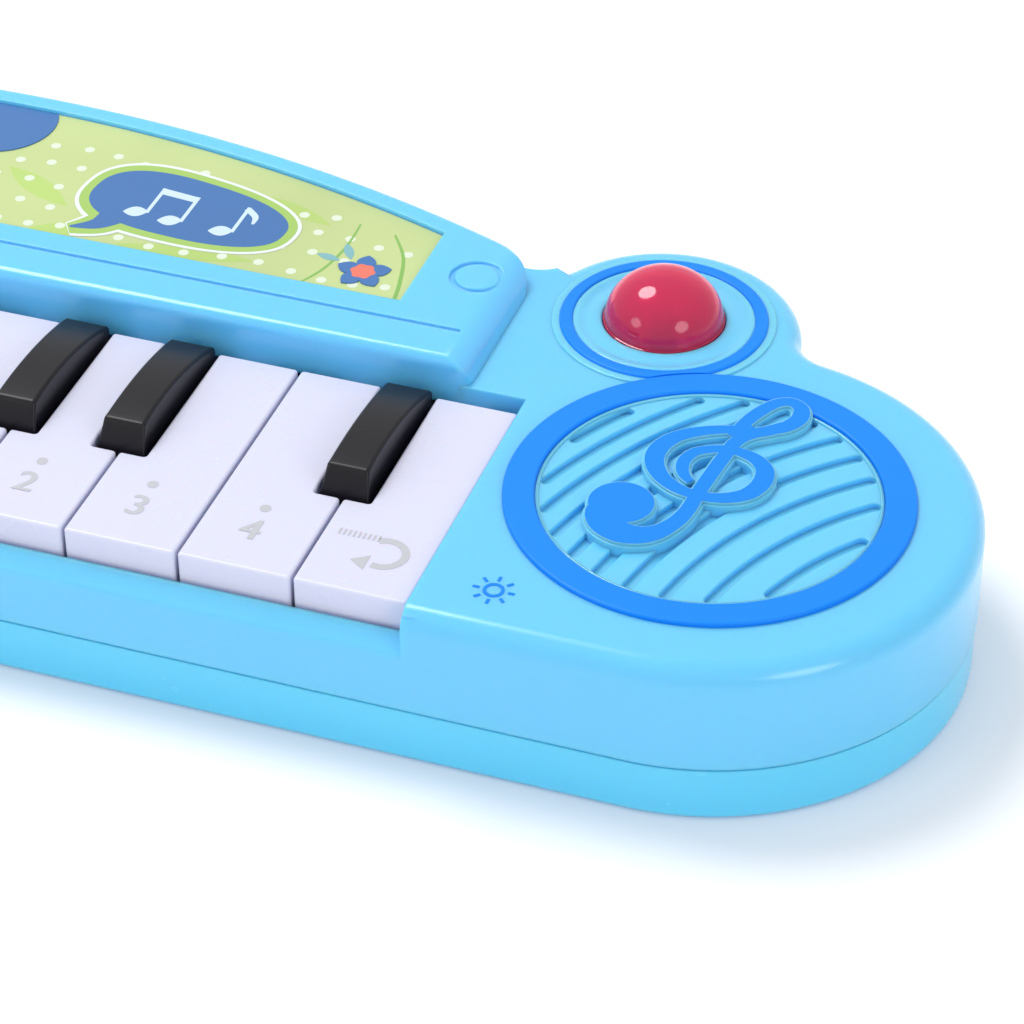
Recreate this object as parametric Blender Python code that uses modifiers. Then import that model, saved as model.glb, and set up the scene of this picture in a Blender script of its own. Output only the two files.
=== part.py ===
"""Toy electronic keyboard: two case shells, hinged keys, a speaker, two signal lamps and a battery bay.

Frame: metres, +Z up, the origin on the table under the middle of the case, the player at -Y.
"""
import math

import bmesh
import bpy
from mathutils import Matrix, Vector

MM = 0.001

# ---- Case outline -----------------------------------------------------------------------------
CASE_DEPTH = 120.2 * MM        # front wall to the middle of the back wall
CASE_HEIGHT = 30.6 * MM        # table to the flat top of the end bodies
WALL = 2.2 * MM
END_RADIUS = 45.1 * MM         # round end bodies
END_OVERHANG = 37.2 * MM       # end circle centre beyond the last key
LOBE_RADIUS = 24.2 * MM        # ear that carries the lamp
LOBE_IN = 22.05 * MM           # lamp centre, inward of the end circle centre
LOBE_BACK = 46.2 * MM          # lamp centre, behind the end circle centre
BACK_RADIUS = 275.8 * MM       # bowed back wall
OUTLINE_FILLET = 8.0 * MM      # hollow corners beside the ears
TOP_EDGE_RADIUS = 4.0 * MM
SEAM_HEIGHT = 10.6 * MM        # top edge of the lower shell
SEAM_GAP = 0.4 * MM
LOWER_INSET = 0.3 * MM         # lower shell stands back from the upper one
BOTTOM_EDGE_RADIUS = 1.6 * MM
FLOOR = 2.0 * MM

# ---- Keys -------------------------------------------------------------------------------------
KEY_COUNT = 12
KEY_PITCH = 20.0 * MM
KEY_GAP = 0.6 * MM             # between neighbouring white keys
WELL_MARGIN = 0.3 * MM         # end key to the side of the well, half a key gap
BLACK_AFTER = (1, 2, 4, 5, 6, 8, 9, 11)   # a black key stands behind each of these white keys
KEY_SET_BACK = 4.2 * MM        # case front to the front faces of the keys
KEY_TOP_DROP = 1.0 * MM        # key tops below the case top
KEY_LENGTH = 54.1 * MM         # visible length of a white key
KEY_DEPTH = 7.0 * MM
KEY_WALL = 1.6 * MM
KEY_EDGE_RADIUS = 0.6 * MM
NOTCH_START = 22.5 * MM        # front of the black key's slot, from the key front
NOTCH_HALF = 5.0 * MM
BLACK_START = 23.4 * MM
BLACK_HALF = 4.3 * MM          # at the foot
BLACK_TOP_HALF = 3.6 * MM
BLACK_LEAN = 2.1 * MM          # the front face leans back by this much
BLACK_RISE = 4.5 * MM          # crown of a black key above the white keys
BLACK_CROWN_AT = 33.0 * MM
BLACK_CROWN_RADIUS = 69.0 * MM
HINGE_BACK = 63.0 * MM         # hinge rod, behind the key fronts
HINGE_DROP = 5.2 * MM          # hinge rod, below the key tops
ROD_RADIUS = 1.5 * MM
ROD_CLEARANCE = 0.35 * MM
BOSS_RADIUS = 3.4 * MM
WHITE_TONGUE = 8.0 * MM
BLACK_TONGUE = 6.0 * MM
TONGUE_THICKNESS = 3.4 * MM
BOSS_STEP = 0.5 * MM           # the boss stands out this far beside its arm
SLIDE_GAP = 0.5 * MM           # tongue top to the skirt above it

# ---- Key well and front rail ------------------------------------------------------------------
WELL_BACK = 57.0 * MM          # back wall of the well, behind the key fronts
RAIL_GAP = 0.7 * MM
RAIL_INNER_DROP = 5.7 * MM     # rail edges below the case top
RAIL_OUTER_DROP = 8.5 * MM
RAIL_FOOT = 12.0 * MM          # the rail's inner face reaches this far below the case top
RIB = 2.0 * MM

# ---- Raised console ---------------------------------------------------------------------------
CONSOLE_RISE = 5.0 * MM        # above the case top
CONSOLE_SIDE = 10.0 * MM       # console side, inward of the last key's side
CONSOLE_BACK_SET = 0.8 * MM
CONSOLE_CORNER = 12.0 * MM
CONSOLE_EDGE = 1.6 * MM
CONSOLE_ROLL = 6.0 * MM        # rounding of its two ends
CONSOLE_ROOF = 3.2 * MM
LABEL_FRONT = 14.3 * MM        # label recess, behind the console front
LABEL_SIDE = 18.0 * MM         # label recess, inward of the console side
LABEL_BACK = 5.0 * MM          # label recess, inside the console's back edge
LABEL_RECESS = 1.5 * MM
LABEL_THICKNESS = 0.4 * MM
GROOVE_BACK = 8.5 * MM
GROOVE_END = 5.0 * MM
GROOVE_WIDTH = 0.8 * MM
GROOVE_DEPTH = 0.5 * MM
MARK_RADIUS = 4.9 * MM
MARK_INNER = 3.9 * MM
MARK_IN = 7.8 * MM           # moulded round mark, inward of the console side

# ---- Grilles, rings and lamps -----------------------------------------------------------------
RELIEF = 0.8 * MM
RING_OUTER = 33.9 * MM
RING_INNER = 28.2 * MM
SLOT_WIDTH = 1.8 * MM
SLOT_END = 0.6 * MM            # slot ends to the ring
SLOT_INSET = 1.8 * MM          # first slot, at its middle, to the ring
SLOT_CENTRE = (70.0 * MM, -40.5 * MM)
SLOT_PITCH = 4.03 * MM
SLOT_PITCH_GROWTH = 0.174 * MM
LAMP_RING_OUTER = 18.3 * MM
LAMP_RING_INNER = 15.9 * MM
LAMP_CUP = 17.4 * MM
DISH_DEPTH = 1.8 * MM
DOME_RADIUS = 10.7 * MM
DOME_RISE = 10.1 * MM          # dome top above the case top
DOME_WALL = 1.5 * MM
DOME_FLANGE = 12.6 * MM
FLANGE_THICKNESS = 1.2 * MM
FIT = 0.3 * MM                 # clearance between parts that sit on each other
LED_RADIUS = 2.5 * MM
LED_HEIGHT = 8.6 * MM
LAMP_BOARD_RADIUS = 11.0 * MM
BOARD_THICKNESS = 1.6 * MM

# ---- Speaker ----------------------------------------------------------------------------------
SPEAKER_RADIUS = 28.5 * MM
SPEAKER_DEPTH = 11.0 * MM
MAGNET_RADIUS = 13.0 * MM
MAGNET_HEIGHT = 5.0 * MM

# ---- Boards and contacts ----------------------------------------------------------------------
CONTACT_BACK = 36.0 * MM       # contact row, behind the key fronts
CONTACT_BOARD_TOP = 13.6 * MM  # below the key tops
CONTACT_BOARD_DEPTH = 18.0 * MM
STRIP_DEPTH = 8.0 * MM
STRIP_THICKNESS = 0.8 * MM
CONTACT_RADIUS = 2.5 * MM
CONTACT_GAP = 2.0 * MM         # key underside to the contact at rest

# ---- Batteries --------------------------------------------------------------------------------
BATTERY_COUNT = 3
BATTERY_RADIUS = 7.25 * MM
BATTERY_LENGTH = 50.5 * MM
BATTERY_GAP = 0.5 * MM
SPRING_LENGTH = 3.6 * MM
PLATE_THICKNESS = 0.5 * MM
BAY_WALL = 1.5 * MM
BAY_BEHIND_HINGE = 4.0 * MM    # bay wall, behind the key bosses
DOOR_THICKNESS = 2.0 * MM

# ---- Screws -----------------------------------------------------------------------------------
POST_RADIUS = 4.2 * MM
SCREW_RADIUS = 1.3 * MM
SCREW_HEAD_RADIUS = 2.6 * MM
SCREW_HEAD_HEIGHT = 1.8 * MM
SCREW_LENGTH = 12.0 * MM
SINK_DEPTH = 3.0 * MM

# ---- Power switch -----------------------------------------------------------------------------
SWITCH_AT = (62.0 * MM, 24.0 * MM)
SWITCH_TRAVEL = 3.0 * MM
KNOB = (3.6 * MM, 3.0 * MM)

# ---- Derived places ---------------------------------------------------------------------------
FRONT_Y = -CASE_DEPTH / 2
KEYS_Y = FRONT_Y + KEY_SET_BACK
WELL_X = KEY_COUNT * KEY_PITCH / 2
END_X = WELL_X + END_OVERHANG
END_Y = FRONT_Y + END_RADIUS
LAMP_X = END_X - LOBE_IN
LAMP_Y = END_Y + LOBE_BACK
BACK_CENTRE = (0.0, -FRONT_Y - BACK_RADIUS)
ROOF = CASE_HEIGHT - WALL
KEY_TOP = CASE_HEIGHT - KEY_TOP_DROP
KEY_FOOT = KEY_TOP - KEY_DEPTH
HINGE_Y = KEYS_Y + HINGE_BACK
HINGE_Z = KEY_TOP - HINGE_DROP
WELL_Y = KEYS_Y + WELL_BACK
SKIRT_Z = HINGE_Z + TONGUE_THICKNESS / 2 + SLIDE_GAP
CONSOLE_X = WELL_X - CONSOLE_SIDE
CONSOLE_TOP = CASE_HEIGHT + CONSOLE_RISE
CONSOLE_RADIUS = BACK_RADIUS - CONSOLE_BACK_SET
CUP_Z = CASE_HEIGHT - 5.0 * MM
DOME_SEAT = CUP_Z - FIT
DOME_BASE = CASE_HEIGHT - DISH_DEPTH
BAY_X = BATTERY_LENGTH / 2 + SPRING_LENGTH / 2 + PLATE_THICKNESS + 3 * FIT
BAY_Y0 = HINGE_Y + BOSS_RADIUS - BAY_BEHIND_HINGE + BAY_WALL + FIT
BAY_Y1 = BAY_Y0 + BATTERY_COUNT * (2 * BATTERY_RADIUS + BATTERY_GAP) + BATTERY_GAP
BATTERY_Z = DOOR_THICKNESS + 2 * FIT + BATTERY_RADIUS
BAY_ROOF = BATTERY_Z + BATTERY_RADIUS + 2 * FIT
BOARD_TOP = KEY_TOP - CONTACT_BOARD_TOP
POSTS = [(WELL_X + 10.0 * MM, FRONT_Y + 12.1 * MM), (END_X - 7.2 * MM, END_Y + 37.0 * MM),
         (70.0 * MM, 42.0 * MM)]
DOOR_EAR = (BAY_X + BAY_WALL + POST_RADIUS + FIT, (BAY_Y0 + BAY_Y1) / 2)

# ---- Colours: base colour, roughness, metallic ------------------------------------------------
SKY_PLASTIC = ("sky_plastic", (0.26, 0.70, 0.98), 0.28, 0.0)
WHITE_PLASTIC = ("white_plastic", (0.80, 0.80, 0.97), 0.30, 0.0)
BLACK_PLASTIC = ("black_plastic", (0.03, 0.03, 0.035), 0.32, 0.0)
RED_LENS = ("red_lens", (0.72, 0.02, 0.06), 0.10, 0.0)
STEEL = ("steel", (0.55, 0.55, 0.56), 0.30, 1.0)
BOARD_GREEN = ("board_green", (0.04, 0.22, 0.10), 0.45, 0.0)
SILICONE = ("silicone", (0.55, 0.55, 0.56), 0.60, 0.0)
PAPER_BLACK = ("paper_black", (0.02, 0.02, 0.02), 0.85, 0.0)
LABEL_PRINT = ("label_print", (0.62, 0.76, 0.34), 0.50, 0.0)
CELL_JACKET = ("cell_jacket", (0.10, 0.14, 0.20), 0.35, 0.0)

PARTS = "toy_keyboard"
CUTTERS = "toy_keyboard_cutters"


# ---- Helpers ----------------------------------------------------------------------------------
def start_scene():
    """Empty the scene and make the two collections."""
    for thing in list(bpy.data.objects):
        bpy.data.objects.remove(thing, do_unlink=True)
    for name in (PARTS, CUTTERS):
        group = bpy.data.collections.new(name)
        bpy.context.scene.collection.children.link(group)


def collection(name):
    """Return one of the two collections."""
    return bpy.data.collections[name]


def material(look):
    """Make a Principled material from a name, colour, roughness and metallic value."""
    name, colour, roughness, metallic = look
    made = bpy.data.materials.new(name)
    made.use_nodes = True
    shader = made.node_tree.nodes["Principled BSDF"]
    shader.inputs["Base Color"].default_value = (*colour, 1.0)
    shader.inputs["Roughness"].default_value = roughness
    shader.inputs["Metallic"].default_value = metallic
    return made


def object_from_bmesh(name, form):
    """Turn a bmesh into an object in the cutters collection, where every body starts."""
    bmesh.ops.recalc_face_normals(form, faces=form.faces)
    mesh = bpy.data.meshes.new(name)
    form.to_mesh(mesh)
    form.free()
    made = bpy.data.objects.new(name, mesh)
    collection(CUTTERS).objects.link(made)
    made.hide_render = True
    made.display_type = "WIRE"
    return made


def finish(body, look, origin=(0.0, 0.0, 0.0)):
    """Move a body to the parts collection, with its material and its origin at a world point."""
    collection(CUTTERS).objects.unlink(body)
    collection(PARTS).objects.link(body)
    body.hide_render = False
    body.display_type = "TEXTURED"
    body.data.transform(Matrix.Translation(-Vector(origin)))
    body.location = origin
    body.data.materials.clear()
    body.data.materials.append(material(look))
    body.data.shade_smooth()
    body.data.set_sharp_from_angle(angle=math.radians(35))
    return body


def boolean(body, others, operation):
    """Add one Boolean modifier that cuts, joins or intersects with one body or with several at once."""
    modifier = body.modifiers.new(operation.lower(), "BOOLEAN")
    modifier.operation = operation
    modifier.solver = "EXACT"
    if len(others) == 1:
        modifier.object = others[0]
        return body
    group = bpy.data.collections.new(f"{body.name}_{operation.lower()}")
    collection(CUTTERS).children.link(group)
    for other in others:
        collection(CUTTERS).objects.unlink(other)
        group.objects.link(other)
    modifier.operand_type = "COLLECTION"
    modifier.collection = group
    return body


def cut(body, *others):
    """Cut bodies away in one step."""
    return boolean(body, others, "DIFFERENCE")


def join(body, *others):
    """Fuse bodies on in one step."""
    return boolean(body, others, "UNION")


def box(name, x, y, z):
    """A box between pairs of x, y and z."""
    form = bmesh.new()
    size = Matrix.Diagonal((x[1] - x[0], y[1] - y[0], z[1] - z[0], 1.0))
    middle = Matrix.Translation(((x[0] + x[1]) / 2, (y[0] + y[1]) / 2, (z[0] + z[1]) / 2))
    bmesh.ops.create_cube(form, size=1.0, matrix=middle @ size)
    return object_from_bmesh(name, form)


def cylinders(name, places, radius, z, segments=20):
    """Upright cylinders of one size in one cutter; places are (x, y)."""
    form = bmesh.new()
    for x, y in places:
        middle = Matrix.Translation((x, y, (z[0] + z[1]) / 2))
        bmesh.ops.create_cone(form, cap_ends=True, segments=segments, radius1=radius, radius2=radius,
                              depth=z[1] - z[0], matrix=middle)
    return object_from_bmesh(name, form)


def bar(name, x, centre, radius, segments=20):
    """A cylinder along X between a pair of x, about (y, z)."""
    form = bmesh.new()
    turn = Matrix.Translation(((x[0] + x[1]) / 2, *centre)) @ Matrix.Rotation(math.pi / 2, 4, "Y")
    bmesh.ops.create_cone(form, cap_ends=True, segments=segments, radius1=radius, radius2=radius,
                          depth=x[1] - x[0], matrix=turn)
    return object_from_bmesh(name, form)


def plate(name, outlines, low, high, axis="Z"):
    """Fill flat outlines and extrude them from low to high along an axis.

    The outlines are in XY for axis Z, in YZ for axis X and in XZ for axis Y.
    """
    curve = bpy.data.curves.new(name, "CURVE")
    curve.dimensions = "2D"
    curve.fill_mode = "BOTH"
    curve.extrude = (high - low) / 2
    for outline in outlines:
        spline = curve.splines.new("POLY")
        spline.points.add(len(outline) - 1)
        for point, place in zip(spline.points, outline):
            point.co = (place[0], place[1], 0.0, 1.0)
        spline.use_cyclic_u = True
    holder = bpy.data.objects.new(name + "_outline", curve)
    collection(CUTTERS).objects.link(holder)
    bpy.context.view_layer.update()
    solid = bpy.data.meshes.new_from_object(holder.evaluated_get(bpy.context.evaluated_depsgraph_get()))
    bpy.data.objects.remove(holder, do_unlink=True)
    form = bmesh.new()
    form.from_mesh(solid)
    bpy.data.meshes.remove(solid)
    bmesh.ops.remove_doubles(form, verts=form.verts, dist=1e-6)
    turns = {"Z": Matrix.Identity(4),
             "X": Matrix(((0, 0, 1, 0), (1, 0, 0, 0), (0, 1, 0, 0), (0, 0, 0, 1))),
             "Y": Matrix(((1, 0, 0, 0), (0, 0, -1, 0), (0, 1, 0, 0), (0, 0, 0, 1)))}
    middle = (low + high) / 2
    lift = Matrix.Translation((0.0, 0.0, -middle if axis == "Y" else middle))
    bmesh.ops.transform(form, matrix=turns[axis] @ lift, verts=form.verts)
    return object_from_bmesh(name, form)


def turned(name, profile, centre, steps=32):
    """Turn a closed (radius, z) profile, listed down its outer side first, about a vertical axis."""
    form = bmesh.new()
    ring = [form.verts.new((radius, 0.0, z)) for radius, z in profile]
    for first, second in zip(ring, ring[1:] + ring[:1]):
        if first.co.x > 0.0 or second.co.x > 0.0:
            form.edges.new((first, second))
    mesh = bpy.data.meshes.new(name)
    form.to_mesh(mesh)
    form.free()
    made = bpy.data.objects.new(name, mesh)
    collection(CUTTERS).objects.link(made)
    made.hide_render = True
    made.display_type = "WIRE"
    made.location = (*centre, 0.0)
    screw = made.modifiers.new("turn", "SCREW")
    screw.steps = steps
    screw.render_steps = steps
    screw.use_merge_vertices = True
    screw.merge_threshold = 1e-5
    screw.use_smooth_shade = True
    return made


def dress(body, look):
    """Give a turned body its material and move it to the parts collection."""
    collection(CUTTERS).objects.unlink(body)
    collection(PARTS).objects.link(body)
    body.hide_render = False
    body.display_type = "TEXTURED"
    body.data.materials.append(material(look))
    return body


def round_rim(body, height, radius, chosen=None, segments=2):
    """Round the rim edges that lie at a height; chosen takes an edge's middle and says yes or no."""
    mesh = body.data
    form = bmesh.new()
    form.from_mesh(mesh)
    layer = form.edges.layers.float.new("bevel_weight_edge")
    for edge in form.edges:
        middle = (edge.verts[0].co + edge.verts[1].co) / 2
        level = all(abs(vert.co.z - height) < 1e-6 for vert in edge.verts)
        if level and edge.calc_face_angle(0.0) > 1.0 and (chosen is None or chosen(middle)):
            edge[layer] = 1.0
    form.to_mesh(mesh)
    form.free()
    modifier = body.modifiers.new("rim", "BEVEL")
    modifier.limit_method = "WEIGHT"
    modifier.width = radius
    modifier.segments = segments


# ---- Outlines ---------------------------------------------------------------------------------
def arc(centre, radius, start, end, count):
    """Points on an arc between two angles in radians, both ends included."""
    angles = [start + (end - start) * step / count for step in range(count + 1)]
    return [(centre[0] + radius * math.cos(a), centre[1] + radius * math.sin(a)) for a in angles]


def circle(centre, radius, count=32):
    """Points around a circle."""
    return arc(centre, radius, 0.0, 2 * math.pi, count)[:-1]


def bearing(start, end):
    """Angle of the direction from one point to another."""
    return math.atan2(end[1] - start[1], end[0] - start[0])


def meeting(first, first_radius, second, second_radius, side):
    """Crossing of two circles, on the left (1) or right (-1) of the line between their centres."""
    across_x, across_y = second[0] - first[0], second[1] - first[1]
    apart = math.hypot(across_x, across_y)
    along = (first_radius ** 2 - second_radius ** 2 + apart ** 2) / (2 * apart)
    aside = side * math.sqrt(first_radius ** 2 - along ** 2)
    return (first[0] + (along * across_x - aside * across_y) / apart,
            first[1] + (along * across_y + aside * across_x) / apart)


def both_sides(half):
    """Mirror a half outline that runs from the front to the back middle on the +X side."""
    inner = [(x, y) for x, y in half if x > 1e-6]
    return half + [(-x, y) for x, y in reversed(inner)]


def case_outline(inset):
    """Plan of the case, moved inward by an inset."""
    end, lamp = (END_X, END_Y), (LAMP_X, LAMP_Y)
    end_r, lobe_r, back_r = END_RADIUS - inset, LOBE_RADIUS - inset, BACK_RADIUS - inset
    fillet = OUTLINE_FILLET + inset
    side = meeting(end, end_r + fillet, lamp, lobe_r + fillet, -1)
    rear = meeting(lamp, lobe_r + fillet, BACK_CENTRE, back_r + fillet, -1)
    half = arc(end, end_r, -math.pi / 2, bearing(end, side), 13)
    half += arc(side, fillet, bearing(side, end), bearing(side, lamp), 3)[1:]
    half += arc(lamp, lobe_r, bearing(lamp, side), bearing(lamp, rear), 7)[1:]
    half += arc(rear, fillet, bearing(rear, lamp) + 2 * math.pi, bearing(rear, BACK_CENTRE) + 2 * math.pi, 3)[1:]
    half += arc(BACK_CENTRE, back_r, bearing(BACK_CENTRE, rear), math.pi / 2, 6)[1:]
    return both_sides(half)


def console_outline(inset, front=0.0):
    """Plan of the raised console, moved inward by an inset; front moves only its front line."""
    corner = CONSOLE_CORNER - inset
    radius = CONSOLE_RADIUS - inset
    side = CONSOLE_X - inset
    centre_x = side - corner
    centre = (centre_x, BACK_CENTRE[1] + math.sqrt((radius - corner) ** 2 - centre_x ** 2))
    turn = bearing(BACK_CENTRE, centre)
    line = WELL_Y + inset + front
    half = [(side, line)]
    half += arc(centre, corner, 0.0, turn, 4)
    half += arc(BACK_CENTRE, radius, turn, math.pi / 2, 6)[1:]
    return both_sides(half)


def label_outline(inset):
    """Plan of the label recess: straight front and ends, and a back edge that follows the console's."""
    side = CONSOLE_X - LABEL_SIDE - inset
    radius = CONSOLE_RADIUS - LABEL_BACK - inset
    turn = math.acos(side / radius)
    front = WELL_Y + LABEL_FRONT + inset
    return both_sides([(side, front)] + arc(BACK_CENTRE, radius, turn, math.pi / 2, 5))


def slot_outlines(centre):
    """Curved grille slots about one far pivot, ever further apart, each ending at the ring."""
    pivot = (centre[0] + SLOT_CENTRE[0], centre[1] + SLOT_CENTRE[1])
    apart = math.hypot(*SLOT_CENTRE)
    inset = RING_INNER - SLOT_INSET
    radius = apart + inset
    outlines = []
    while radius > apart - inset:
        ends = [meeting(pivot, radius, centre, RING_INNER - SLOT_END, side) for side in (1, -1)]
        start, stop = sorted(bearing(pivot, end) % (2 * math.pi) for end in ends)
        outer = arc(pivot, radius + SLOT_WIDTH / 2, start, stop, 3)
        outlines.append(outer + arc(pivot, radius - SLOT_WIDTH / 2, stop, start, 3))
        index = len(outlines)
        radius = apart + inset - SLOT_PITCH * index - SLOT_PITCH_GROWTH * index ** 2
    return outlines


# ---- Upper case -------------------------------------------------------------------------------
def case_shell():
    """Hollow upper case with its raised console."""
    low = SEAM_HEIGHT + SEAM_GAP
    body = plate("upper_case", [case_outline(0.0)], low, CASE_HEIGHT)
    round_rim(body, CASE_HEIGHT, TOP_EDGE_RADIUS, lambda p: p.y < 0.0 or abs(p.x) > CONSOLE_X)
    console = plate("console", [console_outline(0.0)], CASE_HEIGHT - WALL, CONSOLE_TOP)
    round_rim(console, CONSOLE_TOP, CONSOLE_EDGE)
    join(body, boolean(console, [console_roll()], "INTERSECT"))
    hollow = plate("case_hollow", [case_outline(WALL)], low - WALL, ROOF)
    attic = plate("console_hollow", [console_outline(WALL)], ROOF - WALL, CONSOLE_TOP - CONSOLE_ROOF)
    return cut(body, hollow, attic)


def console_roll():
    """Long bar with the console's rounded ends, which its plan is cut to."""
    roll = CONSOLE_TOP - CONSOLE_ROLL
    half = CONSOLE_X - CONSOLE_ROLL
    line = [(CONSOLE_X, ROOF - WALL)] + arc((half, roll), CONSOLE_ROLL, 0.0, math.pi / 2, 5)
    line += arc((-half, roll), CONSOLE_ROLL, math.pi / 2, math.pi, 5) + [(-CONSOLE_X, ROOF - WALL)]
    return plate("console_roll", [line], FRONT_Y, -FRONT_Y + WALL, axis="Y")


def well_frame():
    """Side ribs, skirt and front rail around the keys."""
    rib_y = (FRONT_Y + WALL / 2, HINGE_Y + BOSS_RADIUS + WALL)
    rib_z = (HINGE_Z - BOSS_RADIUS - RIB, ROOF + WALL / 2)
    ribs = [box("well_rib", sorted((side * WELL_X, side * (WELL_X + RIB))), rib_y, rib_z) for side in (-1, 1)]
    span = (-WELL_X - RIB / 2, WELL_X + RIB / 2)
    skirt = box("skirt", span, (WELL_Y, WELL_Y + WALL), (SKIRT_Z, ROOF + WALL / 2))
    rail_y = (FRONT_Y + WALL / 2, KEYS_Y - RAIL_GAP)
    rail = box("rail", span, rail_y, (CASE_HEIGHT - RAIL_FOOT, CASE_HEIGHT - RAIL_INNER_DROP + RIB / 2))
    return ribs + [skirt, rail]


def well_cuts():
    """Opening over the keys, slope of the front rail and holes for the hinge rod."""
    slope = (RAIL_OUTER_DROP - RAIL_INNER_DROP) / KEY_SET_BACK
    outer_z = CASE_HEIGHT - RAIL_OUTER_DROP - slope * WALL
    inner_z = CASE_HEIGHT - RAIL_INNER_DROP
    over = CONSOLE_TOP + WALL
    line = [(FRONT_Y - WALL, outer_z), (KEYS_Y, inner_z), (KEYS_Y, over), (FRONT_Y - WALL, over)]
    rail = plate("rail_cut", [line], -WELL_X, WELL_X, axis="X")
    low = HINGE_Z - BOSS_RADIUS - 2 * RIB
    well = box("well_cut", (-WELL_X, WELL_X), (KEYS_Y - RAIL_GAP, WELL_Y), (low, over))
    reach = WELL_X + 2 * RIB
    holes = bar("rod_holes", (-reach, reach), (HINGE_Y, HINGE_Z), ROD_RADIUS + ROD_CLEARANCE, 16)
    return [rail, well, holes]


def console_cuts():
    """Label recess, front groove and the moulded round marks."""
    over = CONSOLE_TOP + WALL
    recess = plate("label_recess", [label_outline(0.0)], CONSOLE_TOP - LABEL_RECESS, over)
    groove_x = CONSOLE_X - GROOVE_END
    groove_y = (WELL_Y + GROOVE_BACK, WELL_Y + GROOVE_BACK + GROOVE_WIDTH)
    low = CONSOLE_TOP - GROOVE_DEPTH
    groove = box("groove", (-groove_x, groove_x), groove_y, (low, over))
    mark_x = CONSOLE_X - MARK_IN
    mark_y = BACK_CENTRE[1] + math.sqrt((CONSOLE_RADIUS - CONSOLE_CORNER) ** 2 - mark_x ** 2)
    rings = [circle((side * mark_x, mark_y), radius, 14) for side in (-1, 1) for radius in (MARK_RADIUS, MARK_INNER)]
    return [recess, groove, plate("round_marks", rings, low, over)]


def lamp_dish(centre):
    """Dished seat and through hole of a lamp."""
    over = CASE_HEIGHT + RELIEF + WALL
    rim, mouth = DOME_RADIUS + FIT, LAMP_RING_INNER - FIT
    dish = [(0.0, over), (mouth, over), (mouth, CASE_HEIGHT - FIT), (rim, DOME_BASE), (rim, CUP_Z - WALL),
            (0.0, CUP_Z - WALL)]
    return turned("lamp_dish", dish, centre, 24)


def raised_rings(disc, lamp):
    """Raised rings around the grille disc and the lamp of one end; the lamp's gives way to the disc's."""
    foot = CASE_HEIGHT - WALL / 2
    top = CASE_HEIGHT + RELIEF
    lamp_ring = plate("lamp_ring", [circle(lamp, LAMP_RING_OUTER, 28), circle(lamp, LAMP_RING_INNER, 28)], foot, top)
    cut(lamp_ring, cylinders("ring_gap", [disc], RING_OUTER + FIT, (foot - WALL, top + WALL), 32))
    disc_ring = plate("disc_ring", [circle(disc, RING_OUTER, 32), circle(disc, RING_INNER, 32)], foot, top)
    return [disc_ring, lamp_ring]


def upper_case():
    """Upper shell of the case."""
    body = case_shell()
    ends = [((side * END_X, END_Y), (side * LAMP_X, LAMP_Y)) for side in (-1, 1)]
    discs, lamps = zip(*ends)
    posts = [(side * x, y) for x, y in POSTS for side in (-1, 1)]
    foot = SEAM_HEIGHT + FIT
    above = ROOF + WALL / 2
    attic = CONSOLE_TOP - CONSOLE_ROOF + WALL / 2
    short_posts = cylinders("posts", [p for p in posts if abs(p[0]) > CONSOLE_X], POST_RADIUS, (foot, above), 10)
    long_posts = cylinders("attic_posts", [p for p in posts if abs(p[0]) < CONSOLE_X], POST_RADIUS, (foot, attic), 10)
    cups = cylinders("lamp_cups", lamps, LAMP_CUP, (CUP_Z, above), 24)
    join(body, *well_frame(), short_posts, long_posts, cups)
    pilot = SINK_DEPTH + SCREW_HEAD_HEIGHT + SCREW_LENGTH + FIT
    pilots = cylinders("pilots", posts, SCREW_RADIUS + FIT, (foot - WALL, pilot), 8)
    slots = [plate("slots", slot_outlines(disc), ROOF - WALL, CASE_HEIGHT + WALL) for disc in discs]
    cut(body, *well_cuts(), *console_cuts(), pilots, *slots, *[lamp_dish(lamp) for lamp in lamps])
    join(body, *[ring for disc, lamp in ends for ring in raised_rings(disc, lamp)])
    finish(body, SKY_PLASTIC)


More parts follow.
